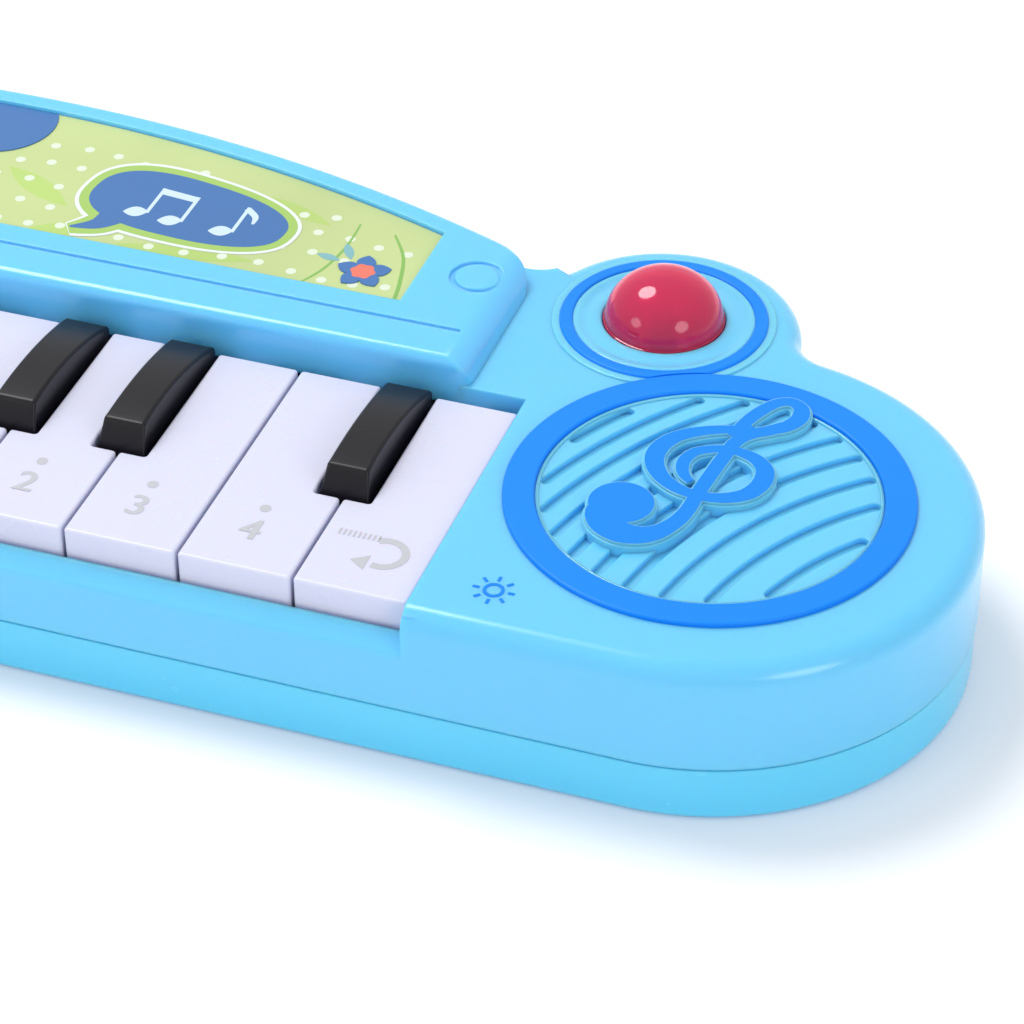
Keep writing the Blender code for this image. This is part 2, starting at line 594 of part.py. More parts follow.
# ---- Lower case -------------------------------------------------------------------------------
def lower_case():
    """Lower shell: tub, battery bay, screw sleeves, board posts and switch window."""
    body = plate("lower_case", [case_outline(LOWER_INSET)], 0.0, SEAM_HEIGHT)
    round_rim(body, 0.0, BOTTOM_EDGE_RADIUS)
    cut(body, plate("tub", [case_outline(LOWER_INSET + WALL)], FLOOR, SEAM_HEIGHT + WALL))
    half = BAY_X + BAY_WALL
    bay = box("bay", (-half, half), (BAY_Y0 - BAY_WALL, BAY_Y1 + BAY_WALL), (FLOOR / 2, BAY_ROOF + BAY_WALL))
    places = [(side * x, y) for x, y in POSTS for side in (-1, 1)]
    sleeves = cylinders("sleeves", places + [DOOR_EAR], POST_RADIUS, (FLOOR / 2, SEAM_HEIGHT), 12)
    row = [(x * KEY_PITCH, KEYS_Y + CONTACT_BACK) for x in (-5, -1.5, 1.5, 5)]
    posts = cylinders("board_posts", row, POST_RADIUS, (FLOOR / 2, BOARD_TOP - BOARD_THICKNESS - FIT), 12)
    reach, width = ear_size(2 * FIT)
    ear_x, ear_y = (BAY_X - BAY_WALL, reach), (DOOR_EAR[1] - width, DOOR_EAR[1] + width)
    block_x, block_y = (BAY_X + BAY_WALL / 2, reach + BAY_WALL), (ear_y[0] - BAY_WALL, ear_y[1] + BAY_WALL)
    ear_top = DOOR_THICKNESS + FIT
    block = box("ear_block", block_x, block_y, (FLOOR / 2, ear_top + BAY_WALL))
    join(body, bay, sleeves, posts, block)
    space = box("bay_space", (-BAY_X, BAY_X), (BAY_Y0, BAY_Y1), (-FLOOR, BAY_ROOF))
    ear = box("ear_space", ear_x, ear_y, (-FLOOR, ear_top))
    heads = cylinders("heads", places, SCREW_HEAD_RADIUS + FIT, (-FLOOR, SINK_DEPTH + SCREW_HEAD_HEIGHT + FIT), 12)
    shanks = cylinders("shanks", places, SCREW_RADIUS + FIT, (FLOOR, SEAM_HEIGHT + WALL), 8)
    pilot = cylinders("door_pilot", [DOOR_EAR], SCREW_RADIUS + FIT, (0.0, SEAM_HEIGHT - FIT), 8)
    x, y = SWITCH_AT
    window_x = (x - KNOB[0] / 2 - FIT, x + KNOB[0] / 2 + SWITCH_TRAVEL + FIT)
    window_y = (y - KNOB[1] / 2 - FIT, y + KNOB[1] / 2 + FIT)
    window = box("switch_window", window_x, window_y, (-FLOOR, 2 * FLOOR))
    cut(body, space, ear, heads, shanks, pilot, window)
    finish(body, SKY_PLASTIC)


def ear_size(margin):
    """Reach of the door's ear along X and its half width, grown by a margin."""
    half = SCREW_HEAD_RADIUS + BAY_WALL + margin
    return DOOR_EAR[0] + half, half


def battery_door():
    """Flush door with a screwed ear."""
    door_x, door_y = (-BAY_X + FIT, BAY_X - FIT), (BAY_Y0 + FIT, BAY_Y1 - FIT)
    body = box("battery_door", door_x, door_y, (0.0, DOOR_THICKNESS))
    reach, half = ear_size(FIT)
    ear_x, ear_y = (BAY_X - 2 * BAY_WALL, reach), (DOOR_EAR[1] - half, DOOR_EAR[1] + half)
    join(body, box("ear", ear_x, ear_y, (0.0, DOOR_THICKNESS)))
    head = cylinders("ear_head", [DOOR_EAR], SCREW_HEAD_RADIUS + FIT, (-FLOOR, DOOR_THICKNESS / 2), 12)
    hole = cylinders("ear_hole", [DOOR_EAR], SCREW_RADIUS + FIT, (0.0, 2 * DOOR_THICKNESS), 8)
    cut(body, head, hole)
    finish(body, SKY_PLASTIC)


# ---- Keys -------------------------------------------------------------------------------------
def white_outline(number, inset):
    """Plan of a white key, notched beside each black key."""
    middle = (number - (KEY_COUNT + 1) / 2) * KEY_PITCH
    half = (KEY_PITCH - KEY_GAP) / 2 - inset
    front, back = KEYS_Y + inset, KEYS_Y + KEY_LENGTH - inset
    notch_y = KEYS_Y + NOTCH_START - inset
    notch_x = KEY_PITCH / 2 - NOTCH_HALF - inset
    right = [(half, back)]
    if number in BLACK_AFTER:
        right = [(half, notch_y), (notch_x, notch_y), (notch_x, back)]
    left = [(-half, back)]
    if number - 1 in BLACK_AFTER:
        left = [(-notch_x, back), (-notch_x, notch_y), (-half, notch_y)]
    line = [(-half, front), (half, front)] + right + left
    return [(middle + x, y) for x, y in line]


def tongue(body, middle, width, start):
    """Arm from a key's cap back to its boss on the hinge rod."""
    x = (middle - width / 2, middle + width / 2)
    z = (HINGE_Z - TONGUE_THICKNESS / 2, HINGE_Z + TONGUE_THICKNESS / 2)
    arm = box("arm", (x[0] + BOSS_STEP, x[1] - BOSS_STEP), (start, HINGE_Y), z)
    join(body, arm, bar("boss", x, (HINGE_Y, HINGE_Z), BOSS_RADIUS, 16))
    hole_x = (x[0] - WALL, x[1] + WALL)
    cut(body, bar("boss_hole", hole_x, (HINGE_Y, HINGE_Z), ROD_RADIUS + ROD_CLEARANCE, 16))


def white_key(number):
    """One white key: hollow cap and tongue."""
    name = f"white_key_{number:02d}"
    middle = (number - (KEY_COUNT + 1) / 2) * KEY_PITCH
    body = plate(name, [white_outline(number, 0.0)], KEY_FOOT, KEY_TOP)
    round_rim(body, KEY_TOP, KEY_EDGE_RADIUS, segments=1)
    inside = (KEY_FOOT - WALL, KEY_TOP - KEY_WALL)
    cut(body, plate("key_hollow", [white_outline(number, KEY_WALL)], *inside))
    tongue(body, middle, WHITE_TONGUE, KEYS_Y + KEY_LENGTH - KEY_WALL)
    finish(body, WHITE_PLASTIC, (middle, HINGE_Y, HINGE_Z))


def black_profile():
    """Side view of a black key's cap: leaning front face and crowned top."""
    front, back = KEYS_Y + BLACK_START, KEYS_Y + KEY_LENGTH
    crown = (KEYS_Y + BLACK_CROWN_AT, KEY_TOP + BLACK_RISE - BLACK_CROWN_RADIUS)
    face = front + BLACK_LEAN
    start = math.acos((face - crown[0]) / BLACK_CROWN_RADIUS)
    stop = math.acos((back - crown[0]) / BLACK_CROWN_RADIUS)
    top = arc(crown, BLACK_CROWN_RADIUS, start, stop, 5)
    return [(back, KEY_FOOT), (front, KEY_FOOT), (front, KEY_TOP)] + top


def black_key(number, after):
    """One black key: tapered cap and tongue."""
    name = f"black_key_{number:02d}"
    middle = (after - KEY_COUNT / 2) * KEY_PITCH
    body = plate(name, [black_profile()], -BLACK_HALF, BLACK_HALF, axis="X")
    for vert in body.data.vertices:
        rise = max(0.0, vert.co.z - KEY_TOP) / BLACK_RISE
        taper = (BLACK_HALF - BLACK_TOP_HALF) * rise
        vert.co.x = middle + math.copysign(BLACK_HALF - taper, vert.co.x)
    inner = BLACK_TOP_HALF - KEY_WALL
    hollow_y = (KEYS_Y + BLACK_START + BLACK_LEAN + KEY_WALL, KEYS_Y + KEY_LENGTH - KEY_WALL)
    cut(body, box("black_hollow", (middle - inner, middle + inner), hollow_y, (KEY_FOOT - WALL, KEY_TOP - KEY_WALL)))
    tongue(body, middle, BLACK_TONGUE, KEYS_Y + KEY_LENGTH - KEY_WALL / 2)
    finish(body, BLACK_PLASTIC, (middle, HINGE_Y, HINGE_Z))


def keys():
    """All keys and the rod that they hang on."""
    for number in range(1, KEY_COUNT + 1):
        white_key(number)
    for number, after in enumerate(BLACK_AFTER, 1):
        black_key(number, after)
    reach = WELL_X + RIB - FIT
    finish(bar("key_pivot_rod", (-reach, reach), (HINGE_Y, HINGE_Z), ROD_RADIUS), STEEL)


def key_contacts():
    """Contact board under the keys and the rubber strip on it."""
    middle = KEYS_Y + CONTACT_BACK
    board_y = (middle - CONTACT_BOARD_DEPTH / 2, middle + CONTACT_BOARD_DEPTH / 2)
    half = WELL_X - RIB
    board = box("key_contact_board", (-half, half), board_y, (BOARD_TOP - BOARD_THICKNESS, BOARD_TOP))
    finish(board, BOARD_GREEN)
    foot = BOARD_TOP + FIT
    strip_y = (middle - STRIP_DEPTH / 2, middle + STRIP_DEPTH / 2)
    strip = box("contact_strip", (-half + RIB, half - RIB), strip_y, (foot, foot + STRIP_THICKNESS))
    whites = [((number - (KEY_COUNT - 1) / 2) * KEY_PITCH, middle) for number in range(KEY_COUNT)]
    blacks = [((after - KEY_COUNT / 2) * KEY_PITCH, middle) for after in BLACK_AFTER]
    join(strip, cylinders("domes", whites + blacks, CONTACT_RADIUS,
                          (foot + STRIP_THICKNESS / 2, KEY_FOOT - CONTACT_GAP), 10))
    finish(strip, SILICONE)


# ---- Console label ----------------------------------------------------------------------------
def console_label():
    """Printed label in the console's recess."""
    low = CONSOLE_TOP - LABEL_RECESS + FIT
    finish(plate("console_label", [label_outline(FIT)], low, low + LABEL_THICKNESS), LABEL_PRINT)


# ---- Lamps ------------------------------------------------------------------------------------
def dome_curve(radius, top, base, count):
    """Quarter ellipse from the axis down to the base."""
    angles = [math.pi / 2 * (1 - step / count) for step in range(count + 1)]
    return [(radius * math.cos(a) if a < math.pi / 2 else 0.0, base + (top - base) * math.sin(a)) for a in angles]


def lamp(side, name):
    """Red dome, its light source and the small board under it."""
    centre = (side * LAMP_X, LAMP_Y)
    top = CASE_HEIGHT + DOME_RISE
    seat = DOME_SEAT - FLANGE_THICKNESS
    inner = DOME_RADIUS - DOME_WALL
    outside = dome_curve(DOME_RADIUS, top, DOME_BASE, 8)
    outside += [(DOME_RADIUS, DOME_SEAT), (DOME_FLANGE, DOME_SEAT), (DOME_FLANGE, seat), (inner, seat)]
    inside = dome_curve(inner, top - DOME_WALL, DOME_BASE, 8)
    dress(turned(f"lamp_dome_{name}", outside + inside[::-1], centre, 28), RED_LENS)
    board_z = (seat - FIT - BOARD_THICKNESS, seat - FIT)
    finish(cylinders(f"lamp_board_{name}", [centre], LAMP_BOARD_RADIUS, board_z, 20), BOARD_GREEN)
    led_z = board_z[1] + FIT
    led = dome_curve(LED_RADIUS, led_z + LED_HEIGHT, led_z + LED_HEIGHT - LED_RADIUS, 3) + [(LED_RADIUS, led_z)]
    dress(turned(f"lamp_led_{name}", led + [(0.0, led_z)], centre, 12), RED_LENS)


# ---- Speaker ----------------------------------------------------------------------------------
def speaker():
    """Basket, cone and magnet under the right-hand grille."""
    centre = (END_X, END_Y)
    top = ROOF - FIT
    foot = top - SPEAKER_DEPTH
    rim = SPEAKER_RADIUS - 3.0 * MM
    neck = MAGNET_RADIUS - 3.0 * MM
    sheet = 1.0 * MM
    basket = [(SPEAKER_RADIUS, top), (SPEAKER_RADIUS, top - sheet), (rim, top - sheet), (neck + sheet, foot),
              (neck - sheet * 2, foot), (neck - sheet * 2, foot + sheet), (neck, foot + sheet), (rim - sheet, top)]
    dress(turned("speaker_basket", basket, centre, 36), STEEL)
    edge = rim - 4 * sheet - 3 * FIT
    cap = neck - 2 * sheet
    low = foot + 3 * sheet
    cone = [(0.0, low + 1.5 * sheet), (cap, low + sheet), (edge, top - sheet), (edge, top - 2 * sheet),
            (cap, low), (0.0, low + 0.5 * sheet)]
    dress(turned("speaker_cone", cone, centre, 36), PAPER_BLACK)
    magnet_z = (foot - FIT - MAGNET_HEIGHT, foot - FIT)
    finish(cylinders("speaker_magnet", [centre], MAGNET_RADIUS, magnet_z, 28), STEEL)


# ---- Power ------------------------------------------------------------------------------------
def battery(number):
    """One cell with its raised positive cap; neighbours lie head to tail."""
    pitch = 2 * BATTERY_RADIUS + BATTERY_GAP
    y = BAY_Y0 + BATTERY_GAP + BATTERY_RADIUS + (number - 1) * pitch
    way = 1 if number % 2 else -1
    middle = way * SPRING_LENGTH / 2
    cap = 1.0 * MM
    half = BATTERY_LENGTH / 2
    can = sorted((middle - way * half, middle + way * (half - cap)))
    body = bar(f"battery_{number}", can, (y, BATTERY_Z), BATTERY_RADIUS, 20)
    nub = sorted((middle, middle + way * half))
    join(body, bar("nub", nub, (y, BATTERY_Z), 2.7 * MM, 12))
    finish(body, CELL_JACKET)
    spring(number, middle - way * half, -way, y)


def spring(number, start, way, y):
    """Contact spring between a cell's flat end and the contact plate."""
    turns, per_turn, wire = 3, 9, 0.35 * MM
    length = SPRING_LENGTH - 2 * FIT - 2 * wire
    curve = bpy.data.curves.new("coil", "CURVE")
    curve.dimensions = "3D"
    curve.bevel_depth = wire
    curve.bevel_resolution = 1
    curve.use_fill_caps = True
    line = curve.splines.new("POLY")
    line.points.add(turns * per_turn)
    for step, point in enumerate(line.points):
        angle = 2 * math.pi * step / per_turn
        share = step / (turns * per_turn)
        radius = (4.5 - 2.0 * share) * MM
        x = start + way * (FIT + wire + length * (1 - share))
        point.co = (x, y + radius * math.cos(angle), BATTERY_Z + radius * math.sin(angle), 1.0)
    holder = bpy.data.objects.new("coil", curve)
    collection(CUTTERS).objects.link(holder)
    bpy.context.view_layer.update()
    solid = bpy.data.meshes.new_from_object(holder.evaluated_get(bpy.context.evaluated_depsgraph_get()))
    bpy.data.objects.remove(holder, do_unlink=True)
    form = bmesh.new()
    form.from_mesh(solid)
    bpy.data.meshes.remove(solid)
    bmesh.ops.remove_doubles(form, verts=form.verts, dist=1e-6)
    finish(object_from_bmesh(f"battery_spring_{number}", form), STEEL)


def battery_contacts():
    """Contact plates at the two ends of the bay."""
    for side, name in ((-1, "left"), (1, "right")):
        face = BAY_X - FIT
        x = sorted((side * face, side * (face - PLATE_THICKNESS)))
        y = (BAY_Y0 + 1.0 * MM, BAY_Y1 - 1.0 * MM)
        z = (BATTERY_Z - BATTERY_RADIUS + 1.0 * MM, BATTERY_Z + BATTERY_RADIUS - 1.0 * MM)
        finish(box(f"battery_contact_{name}", x, y, z), STEEL)


def main_board():
    """Sound board beside the battery bay, with its chip fused on."""
    x = (-CONSOLE_X, -CONSOLE_X + 30.0 * MM)
    y = (BAY_Y0, BAY_Y0 + 26.0 * MM)
    z = (FLOOR + 4.0 * MM, FLOOR + 4.0 * MM + BOARD_THICKNESS)
    body = box("main_board", x, y, z)
    chip_x, chip_y = (x[0] + 9.0 * MM, x[0] + 19.0 * MM), (y[0] + 8.0 * MM, y[0] + 18.0 * MM)
    join(body, box("chip", chip_x, chip_y, (z[0] + FIT, z[1] + 1.5 * MM)))
    finish(body, BOARD_GREEN)


def power_switch():
    """Slide switch on the underside: body above the floor, knob in the window."""
    x, y = SWITCH_AT
    low = FLOOR + FIT
    half_x, half_y, height = 7.0 * MM, 4.0 * MM, 5.0 * MM
    middle = x + SWITCH_TRAVEL / 2
    body = box("power_switch_body", (middle - half_x, middle + half_x), (y - half_y, y + half_y), (low, low + height))
    way_x = (x - KNOB[0] / 2 - FIT, x + KNOB[0] / 2 + SWITCH_TRAVEL + FIT)
    way_y = (y - KNOB[1] / 2 - FIT, y + KNOB[1] / 2 + FIT)
    way_top = low + height - 1.5 * MM
    cut(body, box("switch_way", way_x, way_y, (0.0, way_top)))
    finish(body, BLACK_PLASTIC)
    knob_x = (x - KNOB[0] / 2, x + KNOB[0] / 2)
    knob_y = (y - KNOB[1] / 2, y + KNOB[1] / 2)
    knob = box("power_switch_slider", knob_x, knob_y, (FLOOR / 4, way_top - FIT))
    finish(knob, BLACK_PLASTIC, (x, y, FLOOR))


def screws():
    """Case screws and the door screw, all headed from below."""
    places = [(side * x, y, SINK_DEPTH) for x, y in POSTS for side in (-1, 1)]
    names = [f"case_screw_{number}" for number in range(1, len(places) + 1)] + ["battery_door_screw"]
    places.append((*DOOR_EAR, DOOR_THICKNESS / 2 - SCREW_HEAD_HEIGHT / 2))
    for name, (x, y, low) in zip(names, places):
        long = SCREW_LENGTH if name != "battery_door_screw" else SEAM_HEIGHT / 2
        head = min(SCREW_HEAD_HEIGHT, DOOR_THICKNESS / 2 - FIT - low) if long != SCREW_LENGTH else SCREW_HEAD_HEIGHT
        neck = low + head
        profile = [(0.0, neck + long), (SCREW_RADIUS, neck + long), (SCREW_RADIUS, neck),
                   (SCREW_HEAD_RADIUS, neck), (SCREW_HEAD_RADIUS, low), (0.0, low)]
        dress(turned(name, profile, (x, y), 12), STEEL)


def main():
    """Build the whole keyboard."""
    start_scene()
    upper_case()
    lower_case()
    battery_door()
    keys()
    key_contacts()
    console_label()
    for side, name in ((-1, "left"), (1, "right")):
        lamp(side, name)
    speaker()
    for number in range(1, BATTERY_COUNT + 1):
        battery(number)
    battery_contacts()
    main_board()
    power_switch()
    screws()


main()
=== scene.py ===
"""Looks of the toy electronic keyboard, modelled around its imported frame.

Units are metres. The frame gives the places: the origin is on the table under the middle of the case,
+X runs to the high notes and +Y away from the player.
"""
from __future__ import annotations

import logging
import math
from dataclasses import dataclass
from enum import Enum
from typing import Callable, Iterable, Sequence

import bmesh
import bpy
from mathutils import Matrix, Vector

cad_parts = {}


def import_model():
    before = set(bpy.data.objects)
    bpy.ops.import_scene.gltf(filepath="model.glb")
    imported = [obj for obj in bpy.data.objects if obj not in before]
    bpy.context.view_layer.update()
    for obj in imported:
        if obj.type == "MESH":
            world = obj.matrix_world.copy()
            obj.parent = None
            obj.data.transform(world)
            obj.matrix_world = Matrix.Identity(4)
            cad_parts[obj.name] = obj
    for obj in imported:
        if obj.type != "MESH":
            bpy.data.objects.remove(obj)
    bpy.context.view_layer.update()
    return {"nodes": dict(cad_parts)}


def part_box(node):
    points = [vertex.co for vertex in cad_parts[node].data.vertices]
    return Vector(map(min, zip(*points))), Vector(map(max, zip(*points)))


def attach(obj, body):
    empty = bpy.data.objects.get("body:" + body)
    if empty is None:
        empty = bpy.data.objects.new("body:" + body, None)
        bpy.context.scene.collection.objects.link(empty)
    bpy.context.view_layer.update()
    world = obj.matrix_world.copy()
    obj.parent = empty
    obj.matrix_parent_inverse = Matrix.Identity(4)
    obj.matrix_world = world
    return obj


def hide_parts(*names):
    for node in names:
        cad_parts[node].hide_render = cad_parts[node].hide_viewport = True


LOG = logging.getLogger("toy_keyboard")
MM = 0.001
CASE = "case"
Point = tuple[float, float]
Outline = list[Point]


class Way(Enum):
    """Plane that a flat outline is drawn in, and the axis it is extruded along."""

    UP = "z"
    ACROSS = "x"
    BACK = "y"


# ---- Finishes -----------------------------------------------------------------------------------
@dataclass(frozen=True)
class Finish:
    """One finish: its look and the record's slot it belongs to."""

    name: str
    slot: str
    colour: tuple[float, float, float]
    roughness: float = 0.3
    metallic: float = 0.0
    coat: float = 0.0
    mottle: float = 0.03
    grain_scale: float = 900.0
    grain_depth: float = 0.02
    round_edge: float = 0.0
    clear: float = 0.0
    inner_glow: float = 0.0
    gloss: float = 0.5

    def material(self) -> bpy.types.Material:
        """Build the finish's material once and return it.

        Returns:
            The material.
        """
        made = bpy.data.materials.get(self.name)
        if made:
            return made
        made = bpy.data.materials.new(self.name)
        made.use_nodes = True
        tree = made.node_tree
        shader = tree.nodes["Principled BSDF"]
        shader.inputs["Metallic"].default_value = self.metallic
        shader.inputs["Coat Weight"].default_value = self.coat
        shader.inputs["Coat Roughness"].default_value = 0.08
        shader.inputs["Transmission Weight"].default_value = self.clear
        shader.inputs["IOR"].default_value = 1.49
        shader.inputs["Specular IOR Level"].default_value = self.gloss
        if self.inner_glow:
            shader.inputs["Subsurface Weight"].default_value = self.inner_glow
            shader.inputs["Subsurface Radius"].default_value = (0.0015, 0.005, 0.009)
            shader.inputs["Subsurface Scale"].default_value = 0.5
        skin = tree.nodes.new("ShaderNodeGroup")
        skin.node_tree = moulded_skin()
        skin.inputs["Colour"].default_value = (*self.colour, 1.0)
        skin.inputs["Roughness"].default_value = self.roughness
        skin.inputs["Mottle"].default_value = self.mottle
        skin.inputs["Grain Scale"].default_value = self.grain_scale
        bump = tree.nodes.new("ShaderNodeBump")
        bump.inputs["Strength"].default_value = self.grain_depth
        bump.inputs["Distance"].default_value = 0.0004
        tree.links.new(skin.outputs["Colour"], shader.inputs["Base Color"])
        tree.links.new(skin.outputs["Roughness"], shader.inputs["Roughness"])
        tree.links.new(skin.outputs["Height"], bump.inputs["Height"])
        if self.round_edge:
            edge = tree.nodes.new("ShaderNodeBevel")
            edge.samples = 6
            edge.inputs["Radius"].default_value = self.round_edge
            tree.links.new(edge.outputs["Normal"], bump.inputs["Normal"])
        tree.links.new(bump.outputs["Normal"], shader.inputs["Normal"])
        return made


def moulded_skin() -> bpy.types.NodeTree:
    """Shared surface of moulded pieces: faint colour mottle, uneven gloss and a fine grain.

    Returns:
        The node group, with outputs Colour, Roughness and Height.
    """
    group = bpy.data.node_groups.get("moulded_skin")
    if group:
        return group
    group = bpy.data.node_groups.new("moulded_skin", "ShaderNodeTree")
    for name, kind in (("Colour", "NodeSocketColor"), ("Roughness", "NodeSocketFloat"),
                       ("Mottle", "NodeSocketFloat"), ("Grain Scale", "NodeSocketFloat")):
        group.interface.new_socket(name, in_out="INPUT", socket_type=kind)
    for name, kind in (("Colour", "NodeSocketColor"), ("Roughness", "NodeSocketFloat"),
                       ("Height", "NodeSocketFloat")):
        group.interface.new_socket(name, in_out="OUTPUT", socket_type=kind)
    new, link = group.nodes.new, group.links.new
    given, out, place = new("NodeGroupInput"), new("NodeGroupOutput"), new("ShaderNodeTexCoord")

    def noise(scale: float) -> bpy.types.Node:
        """Noise over the object's own coordinates."""
        made = new("ShaderNodeTexNoise")
        made.inputs["Scale"].default_value = scale
        made.inputs["Detail"].default_value = 3.0
        link(place.outputs["Object"], made.inputs["Vector"])
        return made

    cloud, gloss, grain = noise(22.0), noise(70.0), noise(900.0)
    link(given.outputs["Grain Scale"], grain.inputs["Scale"])
    shift = new("ShaderNodeMath")
    shift.operation = "SUBTRACT"
    shift.inputs[1].default_value = 0.5
    link(cloud.outputs["Fac"], shift.inputs[0])
    amount = new("ShaderNodeMath")
    amount.operation = "MULTIPLY_ADD"
    amount.inputs[2].default_value = 1.0
    link(shift.outputs[0], amount.inputs[0])
    link(given.outputs["Mottle"], amount.inputs[1])
    tint = new("ShaderNodeHueSaturation")
    link(amount.outputs[0], tint.inputs["Value"])
    link(given.outputs["Colour"], tint.inputs["Color"])
    rough = new("ShaderNodeMath")
    rough.operation = "MULTIPLY_ADD"
    rough.inputs[1].default_value = 0.08
    link(gloss.outputs["Fac"], rough.inputs[0])
    link(given.outputs["Roughness"], rough.inputs[2])
    link(tint.outputs["Color"], out.inputs["Colour"])
    link(rough.outputs[0], out.inputs["Roughness"])
    link(grain.outputs["Fac"], out.inputs["Height"])
    return group


SKY = Finish("sky_blue_shell", "sky_plastic", (0.132, 0.548, 0.93), 0.19, coat=0.3, round_edge=0.0007,
             inner_glow=0.55)
# Painted highlight: the raised relief, lamp seat and grille floor are the shell's own plastic; this copy is
# painted a little lighter so that their edges and sunken floors read brighter.
RELIEF_PAINTED_LIGHTER = Finish("sky_blue_relief_painted_lighter", "sky_plastic", (0.140, 0.570, 0.94), 0.19, coat=0.3, round_edge=0.0004,
                inner_glow=0.55)
# Painted light: the lower shell is the same sky blue plastic as the upper shell; this copy is painted lighter so
# that its shaded walls come out brighter.
SKY_LOW_PAINTED_LIGHTER = Finish("sky_blue_lower_shell_painted_lighter", "sky_plastic", (0.115, 0.600, 0.97), 0.22, coat=0.2, round_edge=0.0005,
                 inner_glow=0.55)
DEEP_BLUE = Finish("deep_blue_coat", "deep_blue_paint", (0.004, 0.225, 0.86), 0.3, mottle=0.08, gloss=0.22,
                   grain_depth=0.08)
WHITE = Finish("white_key_plastic", "white_plastic", (0.63, 0.64, 0.80), 0.24, mottle=0.015, inner_glow=0.15)
WHITE_MARK = Finish("key_number_print", "white_plastic", (0.47, 0.48, 0.52), 0.4, mottle=0.1)
BLACK = Finish("black_key_plastic", "black_plastic", (0.007, 0.006, 0.009), 0.30, grain_depth=0.05, gloss=0.3)
RED = Finish("clear_red_lens", "red_lens", (0.96, 0.035, 0.17), 0.03, grain_depth=0.0, clear=0.62)
LED = Finish("led_body", "red_lens", (0.06, 0.01, 0.10), 0.2)
STEEL = Finish("plain_steel", "steel", (0.55, 0.55, 0.56), 0.28, metallic=1.0, grain_scale=1500.0)
BOARD = Finish("solder_mask", "board_green", (0.04, 0.22, 0.10), 0.4)
SILICONE = Finish("silicone_strip", "silicone", (0.55, 0.55, 0.56), 0.55)
PAPER = Finish("cone_paper", "paper_black", (0.02, 0.02, 0.02), 0.8, grain_depth=0.3)
CELL = Finish("cell_jacket", "cell_jacket", (0.10, 0.14, 0.20), 0.3)
GROUND = Finish("label_ground", "label_print", (0.48, 0.58, 0.245), 0.32, mottle=0.3, coat=0.15)
DOT = Finish("label_dot", "label_print", (0.66, 0.74, 0.60), 0.32)
RIM_INK = Finish("label_white", "label_print", (0.72, 0.76, 0.80), 0.32)
LEAF = Finish("label_leaf", "label_print", (0.33, 0.52, 0.12), 0.32)
PALE_LEAF = Finish("label_pale_leaf", "label_print", (0.42, 0.58, 0.16), 0.32, mottle=0.3)
VINE = Finish("label_vine", "label_print", (0.21, 0.44, 0.09), 0.32)
TEAL = Finish("label_teal", "label_print", (0.19, 0.42, 0.45), 0.32)
BLUE_INK = Finish("label_blue", "label_print", (0.042, 0.152, 0.40), 0.32, mottle=0.15)
PALE_INK = Finish("label_pale", "label_print", (0.55, 0.70, 0.78), 0.32)
ROSE_INK = Finish("label_rose", "label_print", (0.72, 0.16, 0.11), 0.32, mottle=0.3)


# ---- Modelling tools ----------------------------------------------------------------------------
def choose(piece: bpy.types.Object) -> bpy.types.Object:
    """Select one piece alone and make it active."""
    for other in bpy.context.selected_objects:
        other.select_set(False)
    piece.select_set(True)
    bpy.context.view_layer.objects.active = piece
    return piece


def deselect() -> None:
    """Leave nothing selected."""
    bpy.ops.object.select_all(action="DESELECT")


def apply_all(piece: bpy.types.Object) -> None:
    """Apply every modifier of a piece in order."""
    choose(piece)
    for modifier in list(piece.modifiers):
        bpy.ops.object.modifier_apply(modifier=modifier.name)


def solid(name: str, outline: Sequence[Point], low: float, high: float, way: Way = Way.UP) -> bpy.types.Object:
    """Fill a flat outline and extrude it.

    Args:
        name: Name of the piece.
        outline: Points in XY, in YZ for ACROSS or in XZ for BACK.
        low: Where the extrusion starts on its axis.
        high: Where it ends.
        way: The axis.

    Returns:
        A closed piece at the origin.
    """
    deselect()
    bpy.ops.mesh.primitive_circle_add(vertices=len(outline), radius=1.0, fill_type="NGON")
    piece = bpy.context.object
    piece.name = name
    for vert, (u, v) in zip(piece.data.vertices, outline):
        vert.co = (u, v, low)
    bpy.ops.object.mode_set(mode="EDIT")
    bpy.ops.mesh.select_all(action="SELECT")
    bpy.ops.mesh.extrude_region_move(TRANSFORM_OT_translate={"value": (0.0, 0.0, high - low)})
    bpy.ops.object.mode_set(mode="OBJECT")
    if way is Way.ACROSS:
        piece.data.transform(Matrix(((0, 0, 1, 0), (1, 0, 0, 0), (0, 1, 0, 0), (0, 0, 0, 1))))
    if way is Way.BACK:
        piece.data.transform(Matrix(((1, 0, 0, 0), (0, 0, 1, 0), (0, 1, 0, 0), (0, 0, 0, 1))))
    return outward(piece)


def outward(piece: bpy.types.Object) -> bpy.types.Object:
    """Merge doubles and turn all faces outward."""
    choose(piece)
    bpy.ops.object.mode_set(mode="EDIT")
    bpy.ops.mesh.select_all(action="SELECT")
    bpy.ops.mesh.remove_doubles(threshold=1e-6)
    bpy.ops.mesh.normals_make_consistent(inside=False)
    bpy.ops.object.mode_set(mode="OBJECT")
    return piece


def box(name: str, x: Point, y: Point, z: Point) -> bpy.types.Object:
    """A box between pairs of x, y and z."""
    return solid(name, [(x[0], y[0]), (x[1], y[0]), (x[1], y[1]), (x[0], y[1])], *z)


